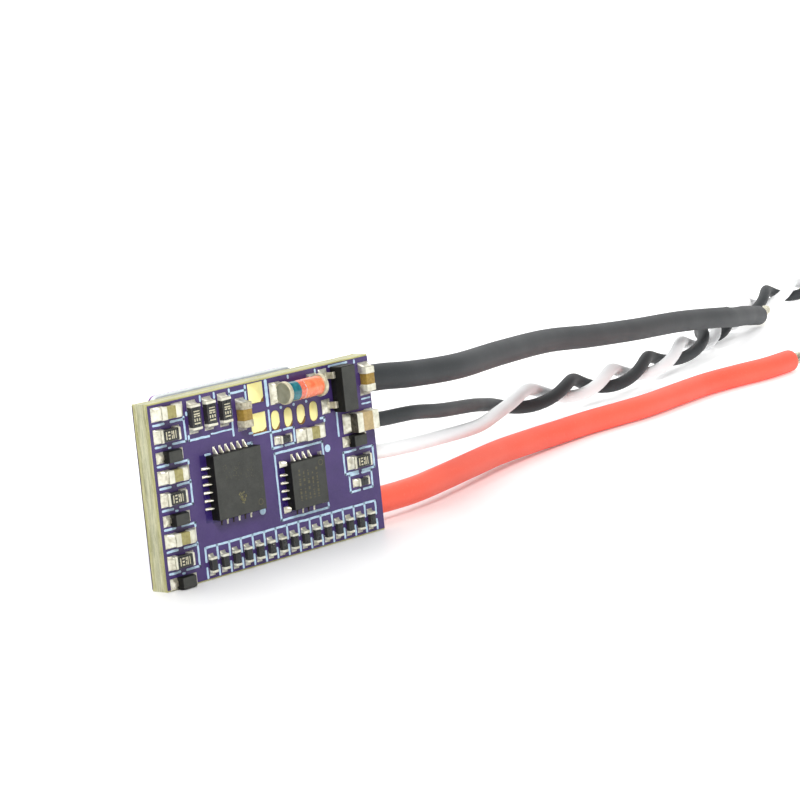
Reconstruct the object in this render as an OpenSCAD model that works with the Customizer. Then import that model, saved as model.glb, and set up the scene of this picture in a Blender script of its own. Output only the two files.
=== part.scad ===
// Electronic speed controller for a small brushless motor.
// The circuit board stands upright on its long edge: the logic side faces -Y and the power side,
// with its heat plate, faces +Y. X runs along the board and Z runs up. All sizes are in millimetres.
// The origin is at the middle of the foot of the board with its parts, and the leads run towards +X.

/* [Board] */
// Length of the circuit board
board_w = 19; // [19:0.1:22]
// Height of the circuit board as it stands
board_h = 11.5; // [11.5:0.1:13]
// Thickness of the circuit board with both coats of solder mask
board_t = 1.4; // [1:0.1:1.6]
// Thickness of one coat of solder mask
mask_t = 0.03; // [0.02:0.01:0.05]
// Width of the bare rim above and below the solder mask
mask_rim = 0.1; // [0.05:0.05:0.1]
// Thickness of the printed legend
ink_t = 0.02; // [0.01:0.01:0.04]
// Width of a printed line
ink_w = 0.14; // [0.12:0.01:0.2]

/* [Chip parts] */
// Thickness of the wrap-round metal ends of a chip part
cap_skin = 0.03; // [0.02:0.01:0.05]
// Height of a 1.6 mm long resistor
resistor_t = 0.45; // [0.35:0.05:0.55]
// Height of a 1.6 mm long capacitor
capacitor_t = 0.5; // [0.4:0.05:0.8]
// Height of a 1 mm long resistor
small_resistor_t = 0.35; // [0.3:0.05:0.4]
// Number of resistors in the row along the foot of the board
row_count = 15; // [1:1:15]
// Spacing of the resistors in that row
row_pitch = 1; // [0.8:0.05:1]

/* [Integrated circuits] */
// Side of the square gate driver
driver_w = 4; // [3.8:0.1:4.2]
// Height of the gate driver
driver_t = 0.7; // [0.5:0.05:0.9]
// Side of the square microcontroller
mcu_w = 3; // [2.9:0.1:3.2]
// Height of the microcontroller
mcu_t = 0.65; // [0.5:0.05:0.85]
// Spacing of the solder lands of both circuits
land_pitch = 0.5; // [0.45:0.05:0.55]

/* [Power side] */
// Side of a square transistor
mosfet_w = 3.3; // [3:0.1:3.5]
// Height of a transistor
mosfet_t = 0.8; // [0.75:0.05:1]
// Thickness of the thermal pad
pad_t = 0.1; // [0.1:0.05:0.3]
// Width of the heat plate
plate_w = 12.1; // [11:0.1:12.2]
// Thickness of the heat plate
plate_t = 0.5; // [0.5:0.1:1.5]

/* [Leads] */
// Diameter of a battery lead over its silicone insulation
battery_d = 1.8; // [1.6:0.1:1.8]
// Diameter of the tinned conductor of a battery lead
conductor_d = 1; // [0.8:0.1:1.1]
// Length of the bare tinned end of a battery lead
bare_l = 4; // [2:0.5:4]
// Diameter of a signal lead over its insulation
signal_d = 1; // [0.8:0.1:1]

/* [Plug] */
// Spacing of the three ways of the plug
way_pitch = 2.54; // [2.5:0.01:2.54]
// Length of the plug housing
plug_l = 14; // [12:0.5:15]
// Height of the plug housing
plug_t = 2.5; // [2.4:0.05:2.7]

/* [Hidden] */
$fn = 32;
eps = 0.01;

// Depth of the whole board assembly, from the glass diode in front to the heat plate behind.
diode_d = 1.45;
diode_l = 3.4;
diode_cap_l = 0.3;
diode_glass_d = 1.25;
diode_seat = 0.05;
front_depth = diode_d + diode_seat;
total_depth = front_depth + board_t + mosfet_t + pad_t + plate_t;
front_y = front_depth - total_depth / 2;
rear_y = front_y + board_t;

// Chip sizes as [length, width].
size_0402 = [1, 0.5];
size_0603 = [1.6, 0.8];
size_0805 = [2, 1.25];
cap_0402 = 0.2;
cap_0603 = 0.45;
cap_0805 = 0.55;
resistor_cap_0603 = 0.25;

// Places on the board are [x, z] from its lower left corner, seen from the logic side.
driver_at = [6.2, 5.6];
mcu_at = [12.15, 4.45];
diode_at = [12.2, 10.4];
regulator_at = [16.1, 9.8];
group_pitch = 3.87;
group_capacitor_at = [1.5, 10.8];
group_resistor_at = [1.3, 9.45];
group_diode_at = [1.35, 8.15];
gate_resistor_at = [3.5, 10.15];
gate_resistor_pitch = 1.28;
driver_capacitor_at = [7.5, 9.6];
logic_capacitor_at = [13.3, 7.4];
input_capacitor_at = [17.7, 7.4];
output_capacitor_at = [18.5, 10];
polarity_diode_at = [17.1, 6.25];
supply_resistor_at = [17.3, 4.85];
filter_resistor_at = [17.3, 3.5];
reset_resistor_at = [10.85, 7.45];
row_at = [3.75, 0.95];
driver_capacitor_t = 0.7;
output_capacitor_t = 0.65;
input_capacitor_t = 0.85;
sod_body = [1.2, 0.8, 0.6];
sod_lead = [0.25, 0.3, 0.15];

// Test pads: two squares beside the driver capacitor and a row of four ovals.
square_pad = 1.3;
square_pads_at = [[8.92, 10.7], [8.92, 8.8]];
oval_pad = [0.75, 1.3];
oval_pads_at = [for (i = [0:3]) [10.37 + 1.12 * i, 8.7]];

// Power side.
plate_x = 2.4;
plate_corner = 0.6;
plate_mid = [plate_x + plate_w / 2, board_h / 2];
mosfet_pitch = [4, 5.2];
thermal_pad_size = [11.2, 10.6];
phase_pad = [2, 2.6];
phase_pads_at = [for (i = [0:2]) [1.2, 1.9 + 3.8 * i]];
battery_pad = [2.6, 2.2];
signal_pad = [1.3, 1.2];
tin_t = 0.05;
negative_z = 9.6;
positive_z = 1.6;
ground_z = 7;
signal_z = 4.9;
battery_exit_x = 8.4;
signal_exit_x = 8;

// Solder mounds as [length, width, height of the middle over the board].
battery_mound = [2.2, 1.7, 0.75];
signal_mound = [0.9, 1, 0.45];

// Routes of the battery leads, one [x, y, z] point after another, and then on to the bare end.
lead_y = rear_y + battery_d / 2;
negative_route = [
    [battery_exit_x, lead_y, negative_z], [10.5, lead_y, 9.55], [13, 1.7, 9.4], [16.5, 2.2, 9],
    [22.5, 3.7, 8.5], [31, 7.3, 8], [41, 11.7, 7.2], [49.5, 14.7, 6.2], [59, 18, 5.2],
    [69.5, 21.8, 4.2], [79.5, 25.2, 3], [83.5, 26.9, 2.4], [87.6, 28.9, 1.9], [90.9, 30.5, 1.4],
    [93.6, 31.8, 1]
];
positive_route = [
    [battery_exit_x, lead_y, positive_z], [10, lead_y, 1.55], [12, 1.7, 1.4], [15.5, 2.1, 1.35],
    [19.5, 3.2, 1.35], [24.2, 4.8, 1.3], [29, 6.5, 1.2], [34, 7.8, 1.05], [38, 8.6, 0.95],
    [42, 9.2, 0.91], [46, 9.3, 0.91], [49.5, 9.5, 0.91], [54.5, 10.4, 0.91], [59, 11.1, 0.91],
    [63, 11.1, 0.91], [66.5, 10.9, 0.91], [70.4, 11.35, 0.91]
];

// Route down the middle of the two signal leads: [x, y, z, distance of each lead from the middle,
// turn in degrees of the ground lead from upright]. They twist round each other up to the plug.
plug_x = 124;
plug_y = 11.5;
plug_mid_z = plug_t / 2;
last_turn = -2610;
pair_route = [
    [signal_exit_x, 1.25, 5.95, 1.05, 0], [10, 1.25, 5.9, 1.05, 0], [12, 1.25, 5.7, 1.05, 0],
    [16, 2.1, 5.4, 1.05, 0], [21, 4.3, 4.75, 0.9, 0], [29, 8.8, 3.7, 0.8, -20],
    [34.5, 12, 3.2, 0.65, -60], [39.5, 14.8, 2.7, 0.65, -110], [47.5, 17, 2.1, 0.65, -285],
    [54, 18.4, 1.7, 0.65, -465], [60.5, 19.8, 1.55, 0.65, -645], [67.5, 21.8, 1.5, 0.65, -825],
    [76.5, 25.7, 1.3, 0.65, -1005], [83, 29, 1.2, 0.65, -1230], [89, 32, 1.2, 0.65, -1420],
    [95, 34.8, 1.2, 0.65, -1570], [101, 37.4, 1.2, 0.65, -1730], [106.5, 38.8, 1.2, 0.65, -1890],
    [111.5, 38.8, 1.2, 0.65, -2070], [117.5, 36, 1.2, 0.65, -2250],
    [121.5, 30.6, 1.2, 0.65, -2430], [123.5, 24, 1.2, 0.65, last_turn],
    [124, 19.5, 1.2, 1.3, last_turn], [plug_x, 15.5, plug_mid_z, 2.4, last_turn],
    [plug_x, 13.5, plug_mid_z, way_pitch, last_turn], [plug_x, plug_y, plug_mid_z, way_pitch, last_turn]
];
lead_sides = 8;

// Point s of the way from point i to the next one, on a smooth curve through all the points.
function end_before(p) = 2 * p[0] - p[1];
function end_after(p) = 2 * p[len(p) - 1] - p[len(p) - 2];
function at_index(p, i) = i < 0 ? end_before(p) : i >= len(p) ? end_after(p) : p[i];
function blend(a, b, c, d, s) =
    0.5 * (2 * b + (c - a) * s + (2 * a - 5 * b + 4 * c - d) * s ^ 2 + (3 * b - a - 3 * c + d) * s ^ 3);
function along(p, i, s) =
    blend(at_index(p, i - 1), at_index(p, i), at_index(p, i + 1), at_index(p, i + 2), s);
function curve(p, n) = [
    for (i = [0:len(p) - 2], k = [0:n - 1]) along(p, i, k / n),
    p[len(p) - 1]
];

// The way a line of points runs at point i, and the level and rising directions square to it.
function unit(v) = v / norm(v);
function heading(p, i) = unit(p[min(i + 1, len(p) - 1)] - p[max(i - 1, 0)]);
function side_of(t) = unit(cross(t, [0, 0, 1]));
function rise_of(t) = cross(side_of(t), t);
function place(q) = [q[0], q[1], q[2]];

// The line that one signal lead follows round the middle of the pair.
function strand(route, n, half_turn) =
    let (c = curve(route, n), m = [for (q = c) place(q)])
    [
        for (i = [0:len(c) - 1])
            let (t = heading(m, i), a = c[i][4] + half_turn)
            m[i] + c[i][3] * (cos(a) * rise_of(t) + sin(a) * side_of(t))
    ];

// A round lead along a line of points.
module tube(line, d) {
    last = len(line) - 1;
    rings = [
        for (i = [0:last], k = [0:lead_sides - 1])
            let (t = heading(line, i), a = 360 * k / lead_sides)
            line[i] + d / 2 * (cos(a) * side_of(t) + sin(a) * rise_of(t))
    ];
    walls = [
        for (i = [0:last - 1], k = [0:lead_sides - 1])
            let (a = i * lead_sides, b = a + lead_sides, m = (k + 1) % lead_sides)
            [a + k, a + m, b + m, b + k]
    ];
    near_end = [for (k = [0:lead_sides - 1]) lead_sides - 1 - k];
    far_end = [for (k = [0:lead_sides - 1]) last * lead_sides + k];
    polyhedron(rings, concat([near_end], walls, [far_end]));
}

// Things on the logic side: x right, y up and z out of the board.
module on_front(at) {
    translate([at[0] - board_w / 2, front_y, at[1]]) rotate([90, 0, 0]) children();
}

// Things on the power side, seen from behind: x left, y up and z out of the board.
module on_rear(at) {
    translate([at[0] - board_w / 2, rear_y, at[1]]) rotate([90, 0, 180]) children();
}

module block(size) {
    translate([-size[0] / 2, -size[1] / 2, 0]) cube(size);
}

// Two rectangles, [along, across] in size, that face each other across a part.
module facing_pair(pitch, size, upright) {
    rotate(upright ? 90 : 0)
        for (side = [-1, 1])
            translate([side * pitch / 2, 0])
                square(size, center = true);
}

// Outlines on the board's face, from its lower left corner.
module board_outline() {
    square([board_w, board_h]);
}

module mask_outline() {
    translate([0, mask_rim])
        square([board_w, board_h - 2 * mask_rim]);
}

module rounded_outline(size, r) {
    square([size[0] - 2 * r, size[1]], center = true);
    square([size[0], size[1] - 2 * r], center = true);
    for (x = [-1, 1], y = [-1, 1])
        translate([x * (size[0] / 2 - r), y * (size[1] / 2 - r)])
            circle(r);
}

module test_pad_outlines() {
    for (at = square_pads_at)
        translate(at)
            square(square_pad, center = true);
    for (at = oval_pads_at)
        translate(at)
            rounded_outline(oval_pad, oval_pad[0] / 2 - eps);
}

// Lands of the chip parts as [place, pitch, size of one land, upright].
land_0603 = [0.9, 0.9];
short_land_0603 = [0.65, 0.9];
land_0402 = [0.55, 0.55];
group_lands = [
    for (i = [0:2])
        each [
            [group_capacitor_at - [0, group_pitch * i], 1.7, land_0603, false],
            [group_resistor_at - [0, group_pitch * i], 1.5, short_land_0603, false],
            [group_diode_at - [0, group_pitch * i], 1.6, [0.6, 0.7], false]
        ]
];
gate_resistors_at = [for (i = [0:2]) gate_resistor_at + [gate_resistor_pitch * i, 0]];
row_places = [for (i = [0:row_count - 1]) row_at + [row_pitch * i, 0]];
single_lands = [
    [driver_capacitor_at, 1.7, land_0603, true],
    [logic_capacitor_at, 1.7, land_0603, false],
    [input_capacitor_at - [0.15, 0], 2, [0.7, 1.3], false],
    [output_capacitor_at, 1.5, short_land_0603, true],
    [polarity_diode_at, 1.6, [0.6, 0.7], false],
    [supply_resistor_at, 1.5, short_land_0603, false],
    [filter_resistor_at, 1, land_0402, false],
    [reset_resistor_at, 1, land_0402, false],
    [diode_at, 3.3, [0.9, 1.4], false]
];
all_lands = concat(
    group_lands, single_lands,
    [for (at = gate_resistors_at) [at, 1.5, short_land_0603, true]],
    [for (at = row_places) [at, 0.95, land_0402, true]]
);
regulator_land = [0.75, 0.95];
regulator_lands_at = [[14.85, 10.75], [14.85, 8.8], [17.35, 9.8]];

module chip_land_outlines() {
    for (land = all_lands)
        translate(land[0])
            facing_pair(land[1], land[2], land[3]);
    for (at = regulator_lands_at)
        translate(at)
            square(regulator_land, center = true);
}

module pad_outlines(places, size) {
    for (at = places)
        translate(at)
            square(size, center = true);
}

battery_pads_at = [for (z = [positive_z, negative_z]) [16.9, z]];
signal_pads_at = [for (z = [signal_z, ground_z]) [17.4, z]];

module rear_pad_outlines() {
    pad_outlines(phase_pads_at, phase_pad);
    pad_outlines(battery_pads_at, battery_pad);
    pad_outlines(signal_pads_at, signal_pad);
}

// A layer on a face of the board, from depth y onwards.
module layer(y, thickness) {
    translate([-board_w / 2, y + thickness, 0]) rotate([90, 0, 0])
        linear_extrude(thickness) children();
}

module substrate() {
    color("palegoldenrod") layer(front_y + mask_t, board_t - 2 * mask_t) board_outline();
}

module front_solder_mask() {
    color("darkslateblue") layer(front_y, mask_t)
        difference() {
            mask_outline();
            test_pad_outlines();
            chip_land_outlines();
        }
}

module rear_solder_mask() {
    color("darkslateblue") layer(rear_y - mask_t, mask_t)
        difference() {
            mask_outline();
            rear_pad_outlines();
        }
}

module test_pads() {
    color("gold") layer(front_y, mask_t) test_pad_outlines();
}

module chip_lands() {
    color("gainsboro") layer(front_y, mask_t) chip_land_outlines();
}

// A printed line from one point to another along x or z, with round ends.
module stroke(a, b, w = ink_w) {
    low = [min(a[0], b[0]), min(a[1], b[1])];
    span = [abs(a[0] - b[0]), abs(a[1] - b[1])];
    translate(low + span / 2) rotate(span[1] > span[0] ? 90 : 0)
        square([max(span), w], center = true);
    for (at = [a, b])
        translate(at)
            circle(d = w);
}

// A frame's four sides, each broken in the middle where broken says so.
module frame(low, high, gap) {
    mid = (low[0] + high[0]) / 2;
    for (z = [low[1], high[1]]) {
        stroke([low[0], z], [mid - gap / 2, z]);
        stroke([mid + gap / 2, z], [high[0], z]);
    }
    for (x = [low[0], high[0]])
        stroke([x, low[1]], [x, high[1]]);
}

// Brackets round each capacitor and resistor at the left end.
module group_legend() {
    top_z = 11.5;
    reach = 2.78;
    for (i = [0:2]) {
        z = top_z - group_pitch * i;
        for (line_z = concat(i == 0 ? [] : [z], [z - 1.35, z - 2.7])) {
            stroke([0.3, line_z], [1.15, line_z]);
            stroke([1.7, line_z], [reach, line_z]);
        }
        stroke([reach, min(z, board_h - mask_rim - 0.15)], [reach, z - 2.7]);
        stroke([1.35, z - 2.87], [1.5, z - 2.87], 0.12);
    }
}

module top_legend() {
    top = board_h - mask_rim - 0.12;
    stroke([3.04, top], [3.04, 10.35]);
    stroke([3.04, 9.8], [3.04, 8.76]);
    stroke([3.04, 8.76], [4.7, 8.76]);
    stroke([4.9, 8.84], [6.6, 8.84], 0.1);
    stroke([4.28, top], [4.28, 11]);
    stroke([5.44, top], [5.44, 11]);
    stroke([6.72, top], [6.72, 8.42]);
    stroke([6.72, 11.02], [8.06, 11.02], 0.14);
    stroke([8.06, top], [8.06, 10.3]);
    stroke([7.9, 8.3], [8.3, 8.3], 0.14);
    stroke([8.4, 8.12], [9.7, 8.12], 0.1);
    stroke([9.84, top], [9.84, 9.78], 0.24);
    stroke([9.84, 9.42], [9.84, 8.1]);
    for (x = [11.8, 14.2, 17.76])
        stroke([x, top], [x, 11.15]);
    stroke([15.45, 11.27], [17.08, 11.27]);
    for (z = [8.4, 8.72])
        stroke([18.1, z], [18.86, z], 0.1);
    for (i = [0:2])
        translate([10.93 + 1.12 * i, 9.43])
            circle(d = 0.19);
}

module middle_legend() {
    frame([9.84, 7.02], [11.84, 8.02], 0.25);
    stroke([14.58, 6.95], [14.58, 8.14]);
    stroke([14.25, 8.14], [14.58, 8.14]);
    stroke([15.73, 6.75], [15.73, 8.25]);
    frame([15.95, 4.2], [18.64, 5.6], 0.4);
    frame([16.27, 2.98], [18.3, 4.06], 0.35);
}

// Marks at the corners of the driver and the frame round the microcontroller.
module circuit_legend() {
    stroke([4.2, 7.65], [4.6, 7.65]);
    stroke([7.8, 7.7], [8.15, 7.7]);
    stroke([8.15, 7.7], [8.15, 7.45]);
    translate([8.45, 3.35])
        circle(d = 0.5);
    low = [9.96, 2.42];
    high = [14.18, 6.66];
    stroke(low, [high[0], low[1]]);
    stroke([low[0], high[1]], high);
    stroke(low, [low[0], high[1]]);
    stroke([high[0], 5.8], high);
    stroke([high[0], low[1]], [high[0], 2.7]);
    translate([14.6, 6.15])
        circle(d = 0.48);
}

module row_legend() {
    first_x = row_at[0] - 0.4;
    for (i = [0:row_count]) {
        x = first_x + row_pitch * i;
        stroke([x, 2.04], [x, 1.2], 0.15);
        stroke([x, 0.8], [x, 0.2], 0.15);
    }
    stroke([first_x, 2.04], [first_x + row_pitch * row_count, 2.04]);
}

module legend() {
    color("lightcyan") layer(front_y - ink_t, ink_t)
        difference() {
            union() {
                group_legend();
                top_legend();
                middle_legend();
                circuit_legend();
                row_legend();
            }
            test_pad_outlines();
            chip_land_outlines();
        }
}

// A chip resistor or capacitor: a ceramic block with a metal end wrapped round each end.
module chip(size, thickness, end_l) {
    translate([0, 0, cap_skin])
        block([size[0] - 2 * cap_skin, size[1] - 2 * cap_skin, thickness - 2 * cap_skin]);
    for (side = [-1, 1])
        translate([side * (size[0] - end_l) / 2, 0, 0])
            block([end_l, size[1], thickness]);
}

module sod_diode() {
    block(sod_body);
    for (side = [-1, 1])
        translate([side * (sod_body[0] + sod_lead[0]) / 2, 0, 0])
            block(sod_lead);
}

// A square leadless circuit with a dimple over its first land.
module leadless_body(w, t) {
    dimple_d = 0.35;
    dimple_in = 0.5;
    difference() {
        block([w, w, t]);
        translate([w / 2 - dimple_in, w / 2 - dimple_in, t - 0.03])
            cylinder(d = dimple_d, h = 1);
    }
}

// Solder joints standing out from under all four sides of a leadless circuit.
module leadless_joints(w, count, size) {
    for (quarter = [0:3], i = [0:count - 1])
        rotate(90 * quarter)
            translate([(w + size[0]) / 2, (i - (count - 1) / 2) * land_pitch, 0])
                block(size);
}

module gate_driver() {
    color([0.25, 0.25, 0.25]) on_front(driver_at) leadless_body(driver_w, driver_t);
}

module gate_driver_joints() {
    color("silver") on_front(driver_at) leadless_joints(driver_w, 6, [0.45, 0.26, 0.15]);
}

module microcontroller() {
    color([0.25, 0.25, 0.25]) on_front(mcu_at) leadless_body(mcu_w, mcu_t);
}

module microcontroller_joints() {
    corner = [0.4, 0.55, 0.2];
    color("silver") on_front(mcu_at) {
        leadless_joints(mcu_w, 4, [0.42, 0.26, 0.15]);
        for (x = [-1, 1], y = [-1, 1])
            translate([x * (mcu_w + corner[0]) / 2, y * (mcu_w - 0.1) / 2, 0])
                block(corner);
    }
}

// Cross-sections of the regulator, across its leads.
regulator_l = 2.9;
regulator_profile = [[-0.66, 0.1], [0.66, 0.1], [0.7, 0.55], [0.6, 1.1], [-0.6, 1.1], [-0.7, 0.55]];
lead_profile = [
    [0.7, 0.48], [0.86, 0.48], [0.98, 0], [1.25, 0], [1.25, 0.13], [1.07, 0.13], [0.95, 0.62],
    [0.69, 0.62]
];
regulator_lead_w = 0.42;
regulator_lead_pitch = 1.9;

module along_board(l) {
    translate([0, l / 2, 0]) rotate([90, 0, 0]) linear_extrude(l) children();
}

module voltage_regulator() {
    color([0.2, 0.2, 0.2]) on_front(regulator_at)
        along_board(regulator_l) polygon(regulator_profile);
}

module regulator_leads() {
    color("silver") on_front(regulator_at) {
        along_board(regulator_lead_w) polygon(lead_profile);
        for (side = [-1, 1])
            translate([0, side * regulator_lead_pitch / 2, 0]) rotate([0, 0, 180])
                along_board(regulator_lead_w) polygon(lead_profile);
    }
}

module diode_axis() {
    on_front(diode_at)
        translate([-diode_l / 2, 0, diode_seat + diode_d / 2]) rotate([0, 90, 0])
            children();
}

module glass_diode() {
    color("tomato") diode_axis()
        translate([0, 0, diode_cap_l])
            cylinder(d = diode_glass_d, h = diode_l - 2 * diode_cap_l);
}

module glass_diode_caps() {
    color("silver") diode_axis() {
        cylinder(d = diode_d, h = diode_cap_l);
        translate([0, 0, diode_l - diode_cap_l])
            cylinder(d = diode_d, h = diode_cap_l);
    }
}

module bootstrap_capacitor(i) {
    color("tan") on_front(group_capacitor_at - [0, group_pitch * i])
        chip(size_0603, capacitor_t, cap_0603);
}

module bootstrap_resistor(i) {
    color("dimgray") on_front(group_resistor_at - [0, group_pitch * i])
        chip(size_0603, resistor_t, resistor_cap_0603);
}

module bootstrap_diode(i) {
    color([0.2, 0.2, 0.2]) on_front(group_diode_at - [0, group_pitch * i]) sod_diode();
}

module gate_resistor(i) {
    color("dimgray") on_front(gate_resistors_at[i]) rotate(90)
        chip(size_0603, resistor_t, resistor_cap_0603);
}

module driver_capacitor() {
    color("peru") on_front(driver_capacitor_at) rotate(90)
        chip(size_0603, driver_capacitor_t, cap_0603);
}

module logic_capacitor() {
    color("tan") on_front(logic_capacitor_at) chip(size_0603, capacitor_t, cap_0603);
}

module input_capacitor() {
    color("tan") on_front(input_capacitor_at) chip(size_0805, input_capacitor_t, cap_0805);
}

module output_capacitor() {
    color("peru") on_front(output_capacitor_at) rotate(90)
        chip(size_0603, output_capacitor_t, cap_0603);
}

module polarity_diode() {
    color([0.2, 0.2, 0.2]) on_front(polarity_diode_at) sod_diode();
}

module supply_resistor() {
    color("dimgray") on_front(supply_resistor_at) chip(size_0603, resistor_t, resistor_cap_0603);
}

module filter_resistor() {
    color("dimgray") on_front(filter_resistor_at) chip(size_0402, small_resistor_t, cap_0402);
}

module reset_resistor() {
    color("dimgray") on_front(reset_resistor_at) chip(size_0402, small_resistor_t, cap_0402);
}

module resistor_row() {
    color("dimgray")
        for (at = row_places)
            on_front(at) rotate(90) chip(size_0402, small_resistor_t, cap_0402);
}

// Transistors in two rows of three, counted from the left end of the lower row.
module mosfet(i) {
    column = i % 3 - 1;
    row = floor(i / 3) - 0.5;
    at = plate_mid + [column * mosfet_pitch[0], row * mosfet_pitch[1]];
    color([0.22, 0.22, 0.22]) on_rear(at) block([mosfet_w, mosfet_w, mosfet_t]);
}

module thermal_pad() {
    color("lightgray") on_rear(plate_mid)
        translate([0, 0, mosfet_t])
            block([thermal_pad_size[0], thermal_pad_size[1], pad_t]);
}

module heat_plate() {
    color("lavender") on_rear(plate_mid)
        translate([0, 0, mosfet_t + pad_t]) linear_extrude(plate_t)
            rounded_outline([plate_w, board_h], plate_corner);
}

module phase_pads() {
    color("silver") layer(rear_y - mask_t, mask_t + tin_t) pad_outlines(phase_pads_at, phase_pad);
}

module battery_pads() {
    color("silver") layer(rear_y - mask_t, mask_t) pad_outlines(battery_pads_at, battery_pad);
}

module signal_pads() {
    color("silver") layer(rear_y - mask_t, mask_t) pad_outlines(signal_pads_at, signal_pad);
}

// A mound of solder over a lead's bared end, from its pad to where the insulation starts.
module solder_mound(exit_x, z, size) {
    l = size[0];
    d = size[1];
    intersection() {
        translate([exit_x - l, rear_y + size[2], z]) rotate([0, 90, 0]) cylinder(d = d, h = l);
        translate([exit_x - l, rear_y, z - d]) cube([l, d, 2 * d]);
    }
}

module battery_joints() {
    color("silver")
        for (z = [positive_z, negative_z])
            solder_mound(battery_exit_x, z, battery_mound);
}

module signal_joints() {
    color("silver")
        for (z = [signal_z, ground_z])
            solder_mound(signal_exit_x, z, signal_mound);
}

// The bared end of a battery lead, which carries on from the end of its route.
module bare_end(route) {
    last = len(route) - 1;
    t = unit(route[last] - along(route, last - 1, 2 / 3));
    level = unit([t[0], t[1], 0]);
    tube([route[last], route[last] + bare_l * level], conductor_d);
}

module battery_negative_lead() {
    color([0.2, 0.22, 0.22]) tube(curve(negative_route, 3), battery_d);
}

module battery_positive_lead() {
    color([0.9, 0.2, 0.15]) tube(curve(positive_route, 2), battery_d);
}

module battery_negative_end() {
    color("silver") bare_end(negative_route);
}

module battery_positive_end() {
    color("silver") bare_end(positive_route);
}

module signal_lead() {
    color("white") tube(strand(pair_route, 3, 180), signal_d);
}

module ground_lead() {
    color([0.2, 0.22, 0.22]) tube(strand(pair_route, 3, 0), signal_d);
}

// A plug housing with three ways through it, lying flat with its leads at the +Y end.
way_hole = 1.7;

module plug_housing() {
    color([0.15, 0.15, 0.15])
        difference() {
            translate([plug_x - 1.5 * way_pitch, plug_y - plug_l, 0])
                cube([3 * way_pitch, plug_l, plug_t]);
            for (way = [-1:1])
                translate([plug_x + way * way_pitch, plug_y + 1, plug_mid_z]) rotate([90, 0, 0])
                    linear_extrude(plug_l + 2) square(way_hole, center = true);
        }
}

module plug_contacts() {
    contact_w = way_hole - 0.1;
    contact_l = plug_l - 2;
    color("gold")
        for (way = [-1, 1])
            translate([plug_x + way * way_pitch, plug_y, plug_mid_z]) rotate([90, 0, 0])
                linear_extrude(contact_l)
                    difference() {
                        square(contact_w, center = true);
                        square(0.7, center = true);
                    }
}

substrate();
front_solder_mask();
rear_solder_mask();
legend();
test_pads();
chip_lands();
gate_driver();
gate_driver_joints();
microcontroller();
microcontroller_joints();
voltage_regulator();
regulator_leads();
glass_diode();
glass_diode_caps();
for (i = [0:2]) {
    number = str(i + 1);
    bootstrap_capacitor(i);
    bootstrap_resistor(i);
    bootstrap_diode(i);
    gate_resistor(i);
}
driver_capacitor();
logic_capacitor();
input_capacitor();
output_capacitor();
polarity_diode();
supply_resistor();
filter_resistor();
reset_resistor();
resistor_row();
for (i = [0:5])
    mosfet(i);
thermal_pad();
heat_plate();
phase_pads();
battery_pads();
signal_pads();
battery_joints();
signal_joints();
battery_negative_lead();
battery_positive_lead();
signal_lead();
ground_lead();
battery_negative_end();
battery_positive_end();
plug_housing();
plug_contacts();
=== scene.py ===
import math
import random
from collections import namedtuple

import bmesh
import bpy
from mathutils import Matrix, Vector, noise


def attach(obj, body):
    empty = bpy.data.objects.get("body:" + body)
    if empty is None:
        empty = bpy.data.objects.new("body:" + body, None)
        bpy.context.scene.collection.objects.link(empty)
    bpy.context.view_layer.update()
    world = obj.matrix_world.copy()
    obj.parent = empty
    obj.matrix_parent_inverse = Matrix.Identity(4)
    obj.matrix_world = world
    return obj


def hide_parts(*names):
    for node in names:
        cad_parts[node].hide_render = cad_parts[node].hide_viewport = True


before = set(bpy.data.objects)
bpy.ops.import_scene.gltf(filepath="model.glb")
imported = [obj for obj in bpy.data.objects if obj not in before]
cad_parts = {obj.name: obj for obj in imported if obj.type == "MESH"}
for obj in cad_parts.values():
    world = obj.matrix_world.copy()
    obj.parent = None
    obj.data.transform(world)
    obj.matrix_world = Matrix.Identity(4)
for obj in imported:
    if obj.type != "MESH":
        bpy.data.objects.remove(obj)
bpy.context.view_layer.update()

scene = bpy.context.scene
scene.view_settings.view_transform = "Standard"
scene.view_settings.look = "None"

# Everything below is in millimetres in the row frame, and becomes metres when an object is made.
MM = 0.001
BOARD_W, BOARD_H, BOARD_T = 19.0, 11.5, 1.4
MASK_T, MASK_RIM = 0.03, 0.1
INK_T = 0.02
FRONT_Y, REAR_Y = -0.65, 0.75
rng = random.Random(11)


# ---------------------------------------------------------------- camera

camera_data = bpy.data.cameras.new("camera")
camera_data.lens = 135
camera_data.sensor_width = 36
camera_data.clip_start = 0.01
camera_data.clip_end = 100
camera = bpy.data.objects.new("camera", camera_data)
scene.collection.objects.link(camera)
CAMERA_AT = Vector((-126.19, -135.23, 35.43))
CAMERA_RIGHT = Vector((0.6836, -0.7229, -0.1004))
CAMERA_BACK = Vector((-0.7096, -0.6905, 0.1405))
back = CAMERA_BACK.normalized()
right = (CAMERA_RIGHT - back * CAMERA_RIGHT.dot(back)).normalized()
up = back.cross(right)
camera.matrix_world = Matrix.Translation(CAMERA_AT * MM) @ Matrix((right, up, back)).transposed().to_4x4()
scene.camera = camera


# ---------------------------------------------------------------- materials

def srgb(r, g, b):
    def linear(c):
        c /= 255
        return c / 12.92 if c <= 0.04045 else ((c + 0.055) / 1.055) ** 2.4
    return (linear(r), linear(g), linear(b), 1.0)


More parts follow.
